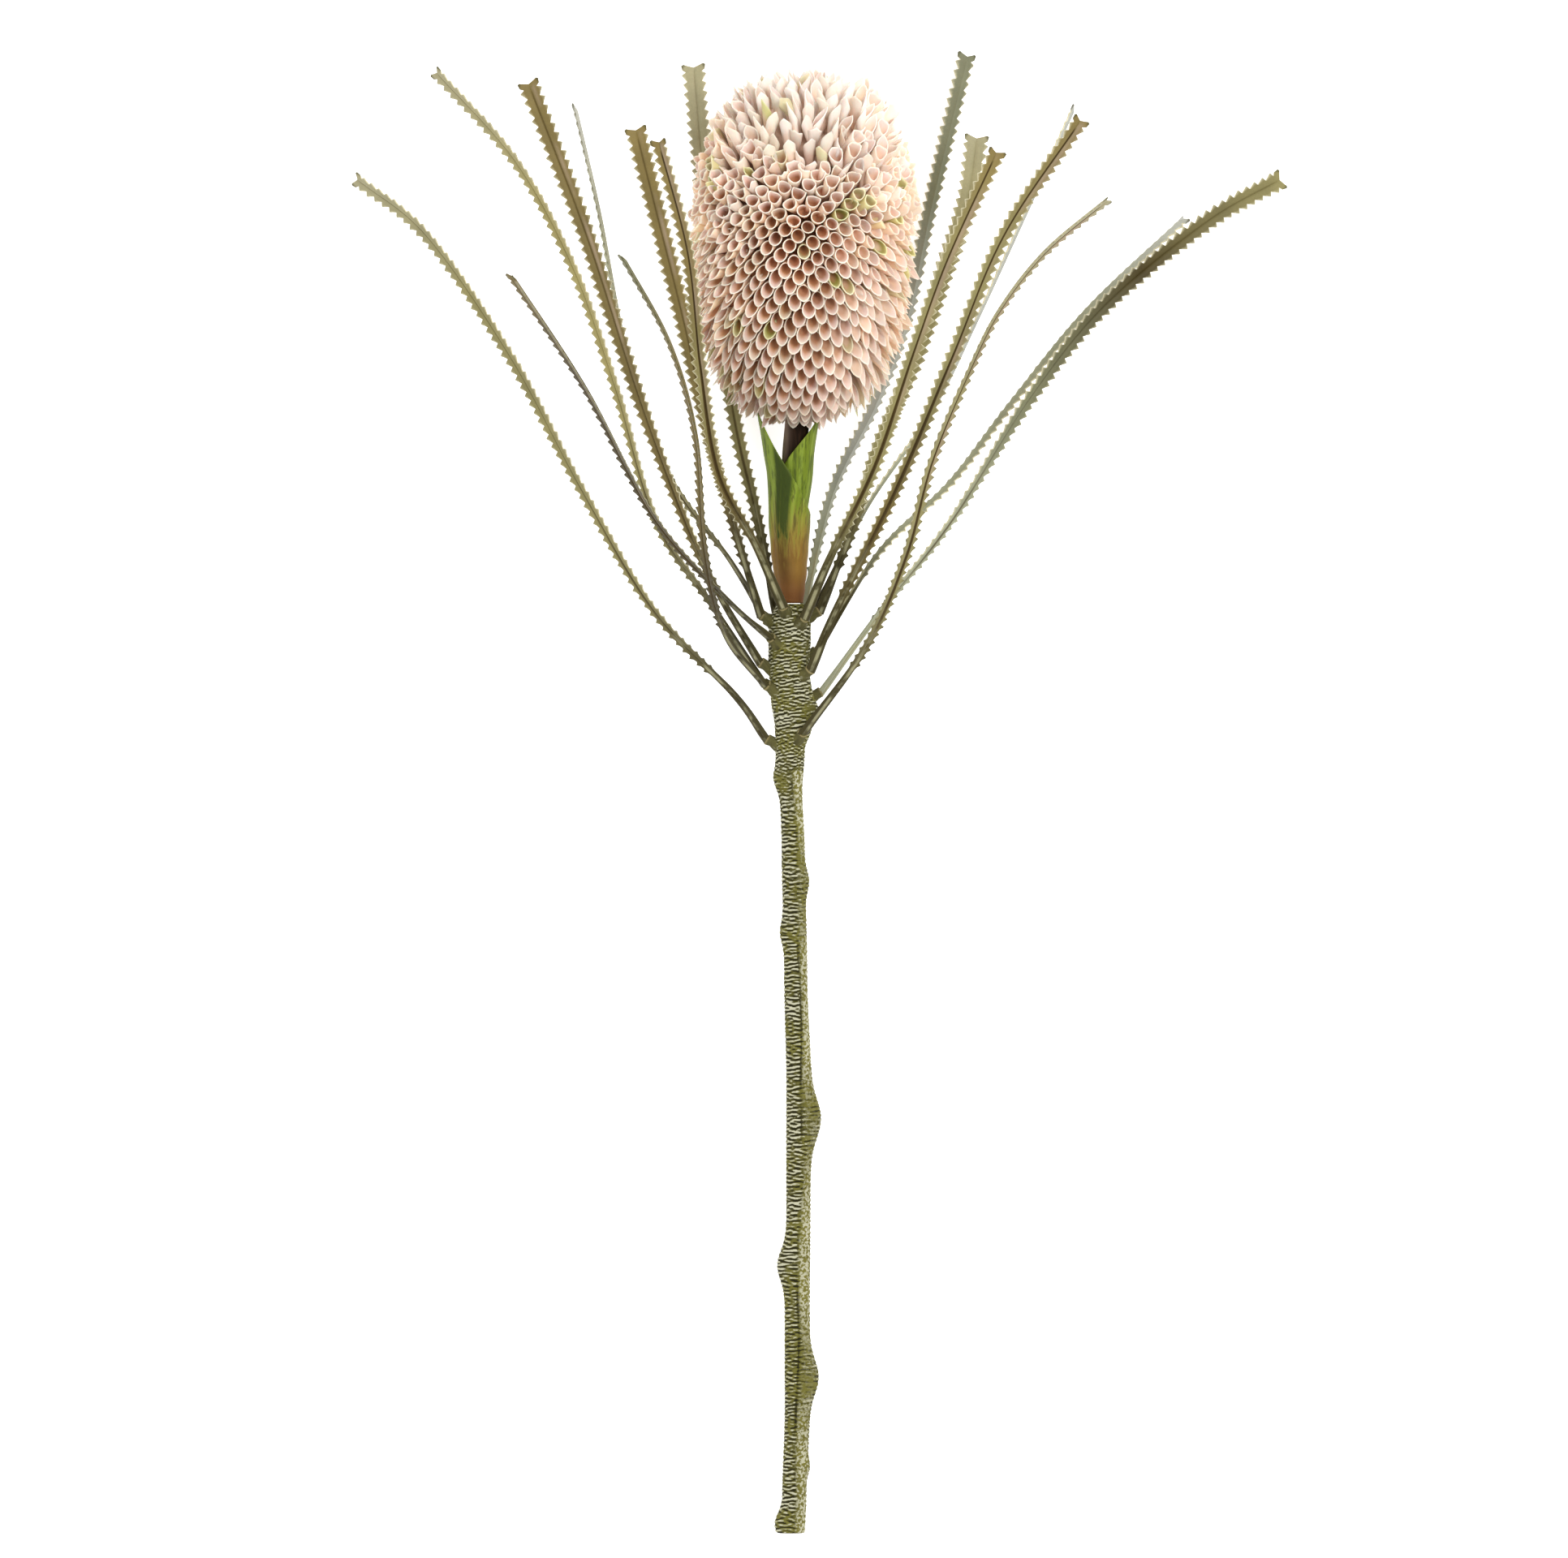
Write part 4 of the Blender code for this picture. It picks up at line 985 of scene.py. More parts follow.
def make_stalk(settings):
    """The dark flower stalk with shallow lengthwise grooves."""
    rows = np.linspace(STALK_STATIONS[0][0], STALK_STATIONS[-1][0], STALK_ROWS)
    points = stalk_points(rows, STALK_COLUMNS)
    turn = round_turns(STALK_COLUMNS)
    centre = points.mean(axis=1, keepdims=True)
    groove = wander(SEED + 5, 6, 5 * np.sin(turn)[None, :], 5 * np.cos(turn)[None, :], rows[:, None] / 40.0)
    points = centre + (points - centre) * (1 - STALK_GROOVE + STALK_GROOVE * groove)[:, :, None]
    # Painted highlight down the stalk's left side
    pale = hill(wrapped(turn, STALK_HIGHLIGHT_TURN), STALK_HIGHLIGHT_SPAN)[None, :] * (0.8 + 0.2 * groove)
    everything = np.concatenate([points.reshape(-1, 3), centre[0], centre[-1]])
    values = {"pale_side": np.append(np.clip(pale, 0, 1).ravel(), [0.0, 0.0])}
    faces = turned(tube_faces(STALK_ROWS, STALK_COLUMNS))
    make_piece("flower_stalk", everything, faces, stalk_material(settings), ["stalk"], values)


# Sheath leaves

def sheath_faces():
    """Outer and inner face of a sheath leaf, then its foot and its rim."""
    count = SHEATH_ROWS * SHEATH_COLUMNS
    near = np.arange(SHEATH_COLUMNS)
    following = (near + 1) % SHEATH_COLUMNS
    last = count - SHEATH_COLUMNS
    return [
        grid_faces(SHEATH_ROWS, SHEATH_COLUMNS),
        grid_faces(SHEATH_ROWS, SHEATH_COLUMNS, count)[:, ::-1],
        np.stack([following, near, near + count, following + count], axis=-1),
        last + np.stack([near, following, following + count, near + count], axis=-1),
    ]


def make_sheath(sheath, settings, material):
    """A sheath leaf: a tube round the stalk whose rim rises to one pointed tip, folded lengthwise."""
    name, tip_y, rim_y, turn, sharpness, lean, inset, folding = sheath
    bottom = SHEATH_STATIONS[0][0]
    column = np.arange(SHEATH_COLUMNS)[None, :]
    row = np.linspace(0, 1, SHEATH_ROWS)[:, None]
    angle = math.radians(turn) + round_turns(SHEATH_COLUMNS)[None, :]
    off = 2 * np.minimum(column, SHEATH_COLUMNS - column) / SHEATH_COLUMNS
    top = rim_y + (tip_y - rim_y) * (1 - off) ** sharpness
    y = bottom + (top - bottom) * row
    climb = (y - bottom) / (tip_y - bottom)
    left = top - y
    turns = np.degrees(angle) / 10.0
    streak = wander(SEED + 8, 6, turns * 1.3, y / 60.0) + 0.4 * wander(SEED + 9, 5, turns * 3.4, y / 45.0)
    fold = (settings.fold / MM * folding * streak
            * rise(climb, 0.0, SHEATH_FOLD_FOOT) * rise(left, 0.0, SHEATH_FOLD_END))
    (radius,) = between(SHEATH_STATIONS, y)
    radius = radius + lean * rise(y, rim_y, tip_y - rim_y) ** SHEATH_LEAN_POWER - inset - SHEATH_SKIN
    sideways, _ = between(STALK_STATIONS, y)
    centre = np.stack([sideways, y, axis_height(y)], axis=-1)
    way = np.stack([np.cos(angle), 0 * angle, np.sin(angle)], axis=-1)
    wall = settings.wall / MM * (1 - SHEATH_THINNING * rise(left, SHEATH_THIN_LENGTH, -SHEATH_THIN_LENGTH))
    outer = centre + (radius + np.minimum(fold, 0.0))[:, :, None] * way
    inner = centre + (radius - wall)[:, :, None] * way
    # Painted shade down the left side, mostly on the outer sheath
    dark_side = hill(wrapped(angle, SHEATH_SHADE_TURN), SHEATH_SHADE_SPAN) * folding + 0 * y
    # Painted highlight along the rim
    edge = rise(left, SHEATH_EDGE, -SHEATH_EDGE)
    values = {"climb": climb, "streak": streak, "dark_side": dark_side, "edge": edge}
    values = {key: np.tile(amounts.ravel(), 2) for key, amounts in values.items()}
    values["lining"] = np.repeat([0.0, 1.0], y.size)
    points = np.concatenate([outer.reshape(-1, 3), inner.reshape(-1, 3)])
    make_piece(name + "_leaf", points, turned(sheath_faces()), material, [name], values)


# Flower head

SPREAD_ROUNDS = 40
SPREAD_STEP = 0.2
SPREAD_REACH = 1.06  # distance that the bracts keep, as a share of their pitch
SPREAD_FAR = 1e6  # a bract's distance from itself, so that it doesn't push itself
SLOPE_STEP = 0.001
HEAD_BOTTOM_CLEAR = 0.004  # share of the head's length round the stalk that has no bracts
HEAD_TOP_CLEAR = 0.9995
BRACT_PIECES = ("skirt_bracts", "middle_bracts", "crown_bracts")
BRACT_RINGS = [  # distance below the rim, least height, share of the wall inwards, how cream, how far inside
    (15.0, 0.2, 0.0, 0.0, 0.0),
    (8.0, 0.35, 0.0, 0.0, 0.0),
    (3.6, 0.5, 0.0, 0.0, 0.0),
    (1.2, 0.65, 0.0, 0.15, 0.0),
    (0.25, 0.8, 0.0, 0.8, 0.0),
    (0.0, 0.95, 0.5, 1.0, 0.0),
    (0.3, 1.6, 1.0, 0.85, 0.4),
    (1.0, 1.45, 1.0, 0.3, 1.0),
    (3.0, 1.3, 1.0, 0.0, 1.0),
    (5.5, 1.15, 1.0, 0.0, 1.0),
]
BRACT_SIZE = len(BRACT_RINGS) * BRACT_COLUMNS + 2  # points of one bract
BRACT_LOWEST = 0.9
BRACT_THROAT = 7.0  # depth of the closed bottom under the front of the mouth
BRACT_DEPTHS = (12.0, 7.0)  # distance below the rim where the painted shade on its outer and its inner face is darkest
BRACT_ROOT = 0.34  # share of the radius at the bract's root
BRACT_FLARE = 0.8
BRACT_FLATNESS = 0.25  # how much flatter the steep bracts are
BRACT_FLAT_TILT = 62.0  # how far from level these are, in degrees
BRACT_WOBBLE = 2.6  # how far bracts point off their places, in degrees
BRACT_TWIST = 13.0
POINTED_UP = (0.61, 0.16)  # where up the head the bracts become more pointed and unruly, and over what length
POINTED_ASIDE = (0.45, 0.35)  # and where towards its sides, as shares of its radius
POINTED_WOBBLE = 2.6  # how much more the pointed bracts are off their places
POINTED_SLANT = 0.35
POINTED_TIP = 0.42
TOP_PART = (0.68, 0.1)  # where up the head they become wider and more twisted, and over what length
TOP_TWIST = 2.2
TOP_WIDTH = 0.12
LOW_PART = (95.0, 20.0)  # tilt in degrees where the bracts start to hang, and over what change
LOW_SLANT = 0.2
LOW_WIDTH = 0.03
SLANT_TURN = 63.0  # where the mouths are cut straight across, as an angle from the way up the head
SLANT_SPAN = 55.0
CROWN_TURN = 55.0  # where the first bracts have their tips on the outer side
CROWN_SPAN = 32.0
CROWN_SLANT = 0.85  # share of the full slant
CROWN_WIDTH = 0.88
TIP_ROUNDNESS = 0.62  # from 0 for a sharp tip to 1 for a round one
CUP_TURN = 54.0  # direction of the bracts whose mouths have two corners, from the way up the head
CUP_SPAN = 24.0
CUP_HORN = 3.4  # height of these corners
SHOULDER = (0.93, 0.08)  # where the head's upper shoulder is, and how wide
SHOULDER_REACH = 3.0  # how much longer the bracts are there
PALE_FROM = 0.65  # share of the head's length where it starts to turn pale
PALE_REACH = 0.26
WARM_MEAN = 0.52  # how warm the bracts are, from 0 for blush to 1 for peach
WARM_CHANGE = 0.3
WARM_PATCH = 22.0
WARM_FADE = 0.5  # how much less warm they are at the top
GREEN_PATCH = 9.0
GREEN_PATCHES = [  # place along X and Y, and reach, of the patches with more yellow-green bracts
    (27.0, 262.0, 6.5),
    (-11.0, 306.0, 6.0),
    (25.0, 300.0, 4.0),
    (-30.0, 274.0, 6.0),
    (0.0, 257.0, 4.0),
    (38.0, 190.0, 4.0),
    (-28.0, 187.0, 4.0),
]
GREEN_PATCH_STRENGTH = 2.4


def bract_places(settings):
    """Share of the head's length and direction round it for every bract, at one spacing all over."""
    shares = np.linspace(0, 1, AREA_STEPS + 1)
    radii = head_radius(shares)
    slant = np.hypot(np.diff(shares) * HEAD_LENGTH, np.diff(radii))
    areas = np.append(0.0, np.cumsum(2 * math.pi * slant * (radii[1:] + radii[:-1]) / 2))
    hidden = np.interp(HEAD_BOTTOM_CLEAR, shares, areas)
    pitch = settings.pitch / MM
    count = int((areas[-1] - hidden) / (pitch**2 * math.sqrt(3) / 2))
    wanted = hidden + (areas[-1] - hidden) * (np.arange(count) + 0.5) / count
    return spread_apart(np.interp(wanted, areas, shares), np.arange(count) * GOLDEN_ANGLE, pitch)


def spread_apart(share, turn, pitch):
    """Moves bracts that stand too close away from each other, along the head's surface."""
    for _ in range(SPREAD_ROUNDS):
        radius = head_radius(share)
        way = np.stack([np.cos(turn), np.sin(turn)], axis=-1)
        place = np.concatenate([radius[:, None] * way, share[:, None] * HEAD_LENGTH], axis=-1)
        gaps = place[:, None, :] - place[None, :, :]
        distance = np.linalg.norm(gaps, axis=-1) + SPREAD_FAR * np.eye(len(share))
        push = SPREAD_STEP * np.clip(SPREAD_REACH * pitch - distance, 0, None) / distance
        move = (gaps * push[:, :, None]).sum(axis=1)
        growth = head_radius(share + SLOPE_STEP) - head_radius(share - SLOPE_STEP)
        slope = growth / (2 * SLOPE_STEP * HEAD_LENGTH)
        outward = move[:, 0] * way[:, 0] + move[:, 1] * way[:, 1]
        aside = move[:, 1] * way[:, 0] - move[:, 0] * way[:, 1]
        climb = (outward * slope + move[:, 2]) / (1 + slope**2)
        share = np.clip(share + climb / HEAD_LENGTH, HEAD_BOTTOM_CLEAR, HEAD_TOP_CLEAR)
        turn = turn + aside / np.maximum(radius, 1.0)
    return share, turn


def swung(first, second, angle):
    """Two directions at right angles, both turned towards the second one, each row by its own angle."""
    cos, sin = np.cos(angle)[:, None], np.sin(angle)[:, None]
    return cos * first + sin * second, cos * second - sin * first


class Bracts:
    """All bracts of the head, as arrays with an entry or a row for each of them."""

    def __init__(self, settings):
        self.draw = np.random.RandomState(SEED)
        self.share, self.turn = bract_places(settings)
        self.count = len(self.share)
        self.aim()
        self.cut(settings)
        self.stand(settings)

    def aim(self):
        """Which way each bract points, and the directions of its back and its side."""
        _, along, across, upright = head_frame()
        self.outward = np.cos(self.turn)[:, None] * across + np.sin(self.turn)[:, None] * upright
        self.sideways = self.outward @ across
        self.pointed = np.maximum(rise(self.share, *POINTED_UP), rise(np.abs(self.sideways), *POINTED_ASIDE))
        self.top_part = rise(self.share, *TOP_PART)
        upper = (self.share - BRACT_LEVEL) / (1 - BRACT_LEVEL)
        lower = (BRACT_LEVEL - self.share) / BRACT_LEVEL
        angle = np.where(self.share > BRACT_LEVEL,
                         90 + (BRACT_TOP_ANGLE - 90) * np.maximum(upper, 0) ** BRACT_TOP_POWER,
                         90 + (BRACT_BOTTOM_ANGLE - 90) * lower)
        unruly = 1 + POINTED_WOBBLE * self.pointed
        self.tilt = np.radians(angle + self.draw.normal(0, BRACT_WOBBLE, self.count) * unruly)
        point, back = swung(along, self.outward, self.tilt)
        yaw = np.radians(self.draw.normal(0, BRACT_WOBBLE, self.count) * unruly)
        self.point, side = swung(point, np.cross(point, back), yaw)
        unruly = 1 + self.pointed + TOP_TWIST * self.top_part
        twist = np.radians(self.draw.normal(0, BRACT_TWIST, self.count) * unruly)
        self.back, self.side = swung(back, side, twist)

    def cut(self, settings):
        """Length, radius and mouth of each bract."""
        draw, count = self.draw, self.count
        tilt = np.degrees(self.tilt)
        low_part = rise(tilt, *LOW_PART)
        length = settings.length / MM * draw.uniform(0.95, 1.02, count)
        length = length + self.pointed * draw.normal(0, 1.0, count)
        self.length = length + SHOULDER_REACH * hill(self.share - SHOULDER[0], SHOULDER[1])
        radius = settings.radius / MM * draw.uniform(0.92, 1.0, count)
        crown = (CROWN_TURN - tilt) / CROWN_SPAN > draw.uniform(0, 1, count)
        widened = 1 + LOW_WIDTH * low_part + TOP_WIDTH * self.top_part
        self.radius = radius * widened * np.where(crown, CROWN_WIDTH, 1.0)
        slant = settings.slant / MM * np.where(crown, CROWN_SLANT, np.tanh((tilt - SLANT_TURN) / SLANT_SPAN))
        slant = slant * draw.uniform(0.8, 1.15, count) * (1 + POINTED_SLANT * self.pointed)
        self.slant = slant * (1 + LOW_SLANT * low_part)
        self.horn = CUP_HORN * hill(tilt - CUP_TURN, CUP_SPAN) * draw.uniform(0.3, 1.3, count)

    def rim(self, turns):
        """Height of each bract's mouth at directions round it."""
        facing = np.where(self.slant[:, None] > 0, turns[None, :], turns[None, :] + math.pi)
        off = np.abs((facing + math.pi) % (2 * math.pi) - math.pi) / math.pi
        roundness = (TIP_ROUNDNESS - POINTED_TIP * self.pointed)[:, None]
        drop = roundness * (1 - np.cos(math.pi * off)) / 2 + (1 - roundness) * off
        corners = self.horn[:, None] * (np.sin(turns)[None, :] ** 4 - 0.3)
        return self.length[:, None] - np.abs(self.slant)[:, None] * drop + corners

    def stand(self, settings):
        """Root and tip of each bract."""
        origin, along, _, _ = head_frame()
        surface = origin + (self.share * HEAD_LENGTH)[:, None] * along
        surface = surface + head_radius(self.share)[:, None] * self.outward
        self.root = surface - settings.length / MM * self.point
        self.tip = self.root + self.length[:, None] * self.point

    def points(self, settings):
        """Rings of each bract, up its back, over its rim and down inside it, then its root and its throat."""
        flat = 1 - BRACT_FLATNESS * rise(np.abs(self.tilt - math.pi / 2), 0.0, math.radians(BRACT_FLAT_TILT))
        turns = round_turns(BRACT_COLUMNS)
        rim = self.rim(turns)
        wall = settings.wall / MM
        rings = []
        for below, least, inward, _, _ in BRACT_RINGS:
            place = np.maximum(rim - below, least)
            grown = np.clip(place / self.length[:, None], 0, 1) ** BRACT_FLARE
            wide = self.radius[:, None] * (BRACT_ROOT + (1 - BRACT_ROOT) * grown) - wall * inward
            rings.append(self.root[:, None, :] + place[:, :, None] * self.point[:, None, :]
                         + (wide * np.cos(turns))[:, :, None] * flat[:, None, None] * self.back[:, None, :]
                         + (wide * np.sin(turns))[:, :, None] * self.side[:, None, :])
        depth = np.maximum(self.length - np.abs(self.slant) - BRACT_THROAT, BRACT_LOWEST)
        throat = self.root + depth[:, None] * self.point
        return np.concatenate([*rings, self.root[:, None, :], throat[:, None, :]], axis=1)

    def tints(self, settings):
        """How warm, green, pale, white and bright each bract is, with painted light that makes the head's
        right side paler, brighter and less warm.
        """
        draw, count, share, sideways, tip = self.draw, self.count, self.share, self.sideways, self.tip
        warm = WARM_MEAN + WARM_CHANGE * wander(SEED + 3, 6, *(tip.T / WARM_PATCH))
        # Less warm on the head's right side, as painted light, and less warm towards the top
        warm = warm - 0.1 * sideways - WARM_FADE * rise(share, 0.68, 0.3)
        warm = np.clip(warm + draw.normal(0, 0.3, count), 0, 1)
        clump = wander(SEED + 4, 7, *(tip.T / GREEN_PATCH)) + draw.normal(0, 0.55, count)
        for x, y, reach in GREEN_PATCHES:
            near = hill(np.hypot(tip[:, 0] - x, tip[:, 1] - y), reach)
            clump = clump + GREEN_PATCH_STRENGTH * near * (tip[:, 2] > axis_height(y))
        chosen = clump > np.quantile(clump, 1 - settings.green_share)
        strong = draw.uniform(0.45, 1.0, count)
        slight = np.clip(draw.normal(0.04, 0.08, count), 0, 0.3)
        green = np.where(chosen, strong, slight)
        # Pale at the top; pale on the head's right side is painted light, and pale bracts get less painted
        # shade deep between and inside them
        pale = np.maximum((share - PALE_FROM) / PALE_REACH, (sideways - 0.2) / 0.45)
        pale = np.clip(pale + draw.normal(0, 0.12, count), 0, 1)
        # Brightness differs at random, falls off towards the head's lower end, and rises on the right side as
        # painted light
        shade = draw.uniform(0.84, 1.07, count) * (1 - 0.18 * rise(share, 0.5, -0.4) * (1 - pale))
        shade = shade * (1 - 0.22 * rise(share, 0.15, -0.12)) * (1 + 0.14 * rise(sideways, 0.5, 0.5))
        return {"warm": warm, "green": green, "pale": pale, "crown": rise(share, 0.77, 0.2), "shade": shade}


def bract_values():
    """What differs along a bract, at its rings, its root and its throat."""
    below, _, _, cream, inside = np.array(BRACT_RINGS).T
    outer, inner = BRACT_DEPTHS
    # How far towards the darkest painted shade each ring lies
    depth = np.minimum(1.0, below / (outer + (inner - outer) * inside))
    rows = {"edge": [cream, 0.0, 0.0], "inside": [inside, 0.0, 1.0], "depth": [depth, 1.0, 1.0]}
    return {key: np.append(rings.repeat(BRACT_COLUMNS), ends) for key, (rings, *ends) in rows.items()}


def make_bracts(settings):
    """The rolled bracts, in three pieces up the head."""
    bracts = Bracts(settings)
    body = bracts.points(settings)
    values = {key: np.tile(amounts, (bracts.count, 1)) for key, amounts in bract_values().items()}
    for key, amounts in bracts.tints(settings).items():
        values[key] = np.repeat(amounts[:, None], BRACT_SIZE, axis=1)
    shapes = tube_faces(len(BRACT_RINGS), BRACT_COLUMNS)
    material = bract_material(settings)
    limits = np.linspace(0, bracts.count, len(BRACT_PIECES) + 1).astype(int)
    for name, low, high in zip(BRACT_PIECES, limits, limits[1:]):
        steps = (np.arange(high - low) * BRACT_SIZE)[:, None, None]
        faces = [(shape[None] + steps).reshape(-1, shape.shape[1]) for shape in shapes]
        chosen = {key: amounts[low:high].ravel() for key, amounts in values.items()}
        make_piece(name, body[low:high].reshape(-1, 3), faces, material, ["head"], chosen)


def make_core(settings):
    """The core that the bracts stand on, painted dark as the shade between the bracts."""
    origin, along, across, upright = head_frame()
    row = (1 - np.cos(np.linspace(0, math.pi, CORE_ROWS))) / 2
    bottom = (STALK_STATIONS[-1][0] + CORE_GAP - HEAD_BOTTOM_Y) / HEAD_LENGTH
    share = bottom + (1 - CORE_DEPTH / HEAD_LENGTH - bottom) * row
    slim = CORE_FOOT + (1 - CORE_FOOT) * rise(row, 0.0, CORE_FOOT_REACH)
    low, high = CORE_OUTLINE
    radius = slim * (HEAD_RADIUS - CORE_DEPTH) / HEAD_RADIUS * head_radius(low + (high - low) * row)
    turn = round_turns(CORE_COLUMNS)[None, :]
    bumps = 1 + 0.02 * wander(SEED + 6, 8, 9 * np.sin(turn), 9 * np.cos(turn), share[:, None] * 50)
    reach = (radius[:, None] * bumps)[:, :, None]
    points = (origin + (share * HEAD_LENGTH)[:, None, None] * along
              + reach * (np.cos(turn)[:, :, None] * across + np.sin(turn)[:, :, None] * upright))
    pale = rise(share, PALE_FROM, PALE_REACH).repeat(CORE_COLUMNS)
    values = {"pale": np.append(pale, [0.0, 1.0])}
    points = np.concatenate([points.reshape(-1, 3), points[[0, -1]].mean(axis=1)])
    faces = turned(tube_faces(CORE_ROWS, CORE_COLUMNS))
    make_piece("head_core", points, faces, core_material(settings), ["head"], values)


# Leaves

LEAF_STRAP_HALF_WIDTH = 2.05
LEAF_NECK_HALF_WIDTH = 1.6  # where the teeth start
LEAF_BASE_HALF_WIDTH = 2.25
LEAF_BASE_THICKNESS = 2.8
LEAF_BASE_REACH = 11.0  # length over which the base thins down to the blade
LEAF_SWELLING = 9.0  # length of the swollen foot
LEAF_STRAP_ROWS = 12
LEAF_FOOT_DEPTH = 1.6  # how far the foot stands in its socket
LEAF_SPIKINESS = 1.3  # how much slimmer the lowest teeth are
LEAF_FOLD = 0.9  # how high the blade's edges stand over its middle
LEAF_ROUNDNESS = 0.6  # power of the fall in thickness from the midrib to the edge
LEAF_GROOVE = 0.32  # depth of the midrib's groove above, and height of its keel below
LEAF_KEEL = 0.35
LEAF_PILLOW = 0.16  # height of the soft swellings beside the midrib, their place across and their width
LEAF_PILLOW_PLACE = 0.5
LEAF_PILLOW_SPAN = 0.3
LEAF_EDGE_BULGE = 0.12  # how far the thin edge stands out between the two faces
LEAF_END_EDGE = 0.1
LEAF_EDGE_SPOT = 1.2  # what the edge counts as, as a share of the core half
LEAF_FAR = 3.0  # what the horns count as, far from the midrib
LEAF_FOLDED = (0.5, -0.2)  # share of the length up to which the midrib is deeply folded, and its change
LEAF_FOLDED_RIB = 0.7  # how dark the midrib is there
LEAF_BROAD_RIB = (0.62, -0.2)
LEAF_RIB_HALF = 0.45
LEAF_STRIPE_SPOT = 0.45
LEAF_STRIPE_SPANS = (0.3, 0.6)  # of leaves with a faint and with a strong midrib
LEAF_RIM_SHARE = 0.42  # how pale the columns next to the edge are
LEAF_CREASE = 50.0
LEAF_LEAST_TOOTH = 0.7  # share of the full depth of the lowest teeth
LEAF_FULL_TEETH = 0.45  # share of the toothed part where they have grown to it
LEAF_TURNING = (0.25, 0.85)  # shares of the length where the roll starts and stops changing
LEAF_WIDENING = 0.9  # power of the growth in width towards the tip
LEAF_HORN_LENGTH = 3.6
TINT_STOPS = (0.1, 0.3, 0.5, 0.75, 1.0)
TOOTH_STATIONS = [(0.0, 0.0), (0.38, 0.50), (0.64, 0.90), (0.75, 1.0), (0.88, 0.55)]  # along it, how far out
TOOTH_DRAW = 0.12  # how much the teeth differ in size
LEAF_COLUMNS = [  # place across as a share of the core half, 2 for the edge, and which face it is on
    (-2, 1), (-0.96, 1), (-0.5, 1), (-0.16, 1), (0.0, 1), (0.16, 1), (0.5, 1), (0.96, 1), (2, 1),
    (2, 0), (2, -1), (0.9, -1), (0.42, -1), (0.0, -1), (-0.42, -1), (-0.9, -1), (-2, -1), (-2, 0),
]
HORN_PLACES = [  # share of the half width across, share of the horn's length along
    (0.0, 0.55), (-0.5, 0.8), (0.5, 0.8), (-0.93, 0.3), (0.93, 0.3), (-0.82, 1.0), (0.82, 1.0),
    (-1.0, 0.86), (1.0, 0.86),
]
HORN_DARKNESS = np.tile([0.0, 0.1, 0.1, 0.6, 0.6, 1.0, 1.0, 1.0, 1.0], 2)


def smooth_path(points):
    """A smooth curve through points, as places at even steps along it, and the length up to each."""
    points = [np.array(p, float) for p in points]
    ends = [2 * points[0] - points[1], *points, 2 * points[-1] - points[-2]]
    t = (np.arange(PATH_STEPS) / PATH_STEPS)[:, None]
    stretches = [
        0.5 * (2 * b + (c - a) * t + (2 * a - 5 * b + 4 * c - d) * t**2 + (3 * b - a - 3 * c + d) * t**3)
        for a, b, c, d in zip(ends, ends[1:], ends[2:], ends[3:])
    ]
    places = np.concatenate([*stretches, points[-1][None]])
    marks = np.append(0.0, np.cumsum(np.linalg.norm(np.diff(places, axis=0), axis=1)))
    return places, marks


def read_path(places, marks, distance):
    """Places at distances along a path."""
    return np.stack([np.interp(distance, marks, places[:, k]) for k in range(3)], axis=-1)


def leaf_stations(length, width, strap, settings, draw):
    """Distances along a leaf, half width of its core and of its edges, and where each is in a tooth."""
    depth = settings.depth / MM
    tail = length - LEAF_HORN_LENGTH
    teeth = round((tail - strap) / (settings.pitch / MM))
    pitch = (tail - strap) / teeth
    rows = []
    for distance in np.linspace(LEAF_GAP, strap - pitch / 2, LEAF_STRAP_ROWS):
        swell = hill(distance - LEAF_GAP, LEAF_SWELLING)
        taper = max(0.0, (distance - LEAF_SWELLING) / (strap - LEAF_SWELLING))
        half = LEAF_STRAP_HALF_WIDTH + (LEAF_BASE_HALF_WIDTH - LEAF_STRAP_HALF_WIDTH) * swell
        half = half + (LEAF_NECK_HALF_WIDTH - LEAF_STRAP_HALF_WIDTH) * taper
        rows.append((distance, half, half, 0.0))
    for k in range(teeth):
        size = draw.uniform(1 - TOOTH_DRAW, 1 + TOOTH_DRAW)
        for along, out in TOOTH_STATIONS:
            distance = strap + (k + along) * pitch
            share = (distance - strap) / (length - strap)
            core = LEAF_NECK_HALF_WIDTH + (0.5 * width - depth - LEAF_NECK_HALF_WIDTH) * share**LEAF_WIDENING
            grown = LEAF_LEAST_TOOTH + (1 - LEAF_LEAST_TOOTH) * min(1.0, share / LEAF_FULL_TEETH)
            spiky = out ** (1 + LEAF_SPIKINESS * max(0.0, 1 - share / LEAF_FULL_TEETH))
            rows.append((distance, core, core + depth * grown * spiky * size, out))
    core = 0.5 * width - depth
    rows.append((tail, core, core + LEAF_END_EDGE, 0.0))
    return np.array(rows)


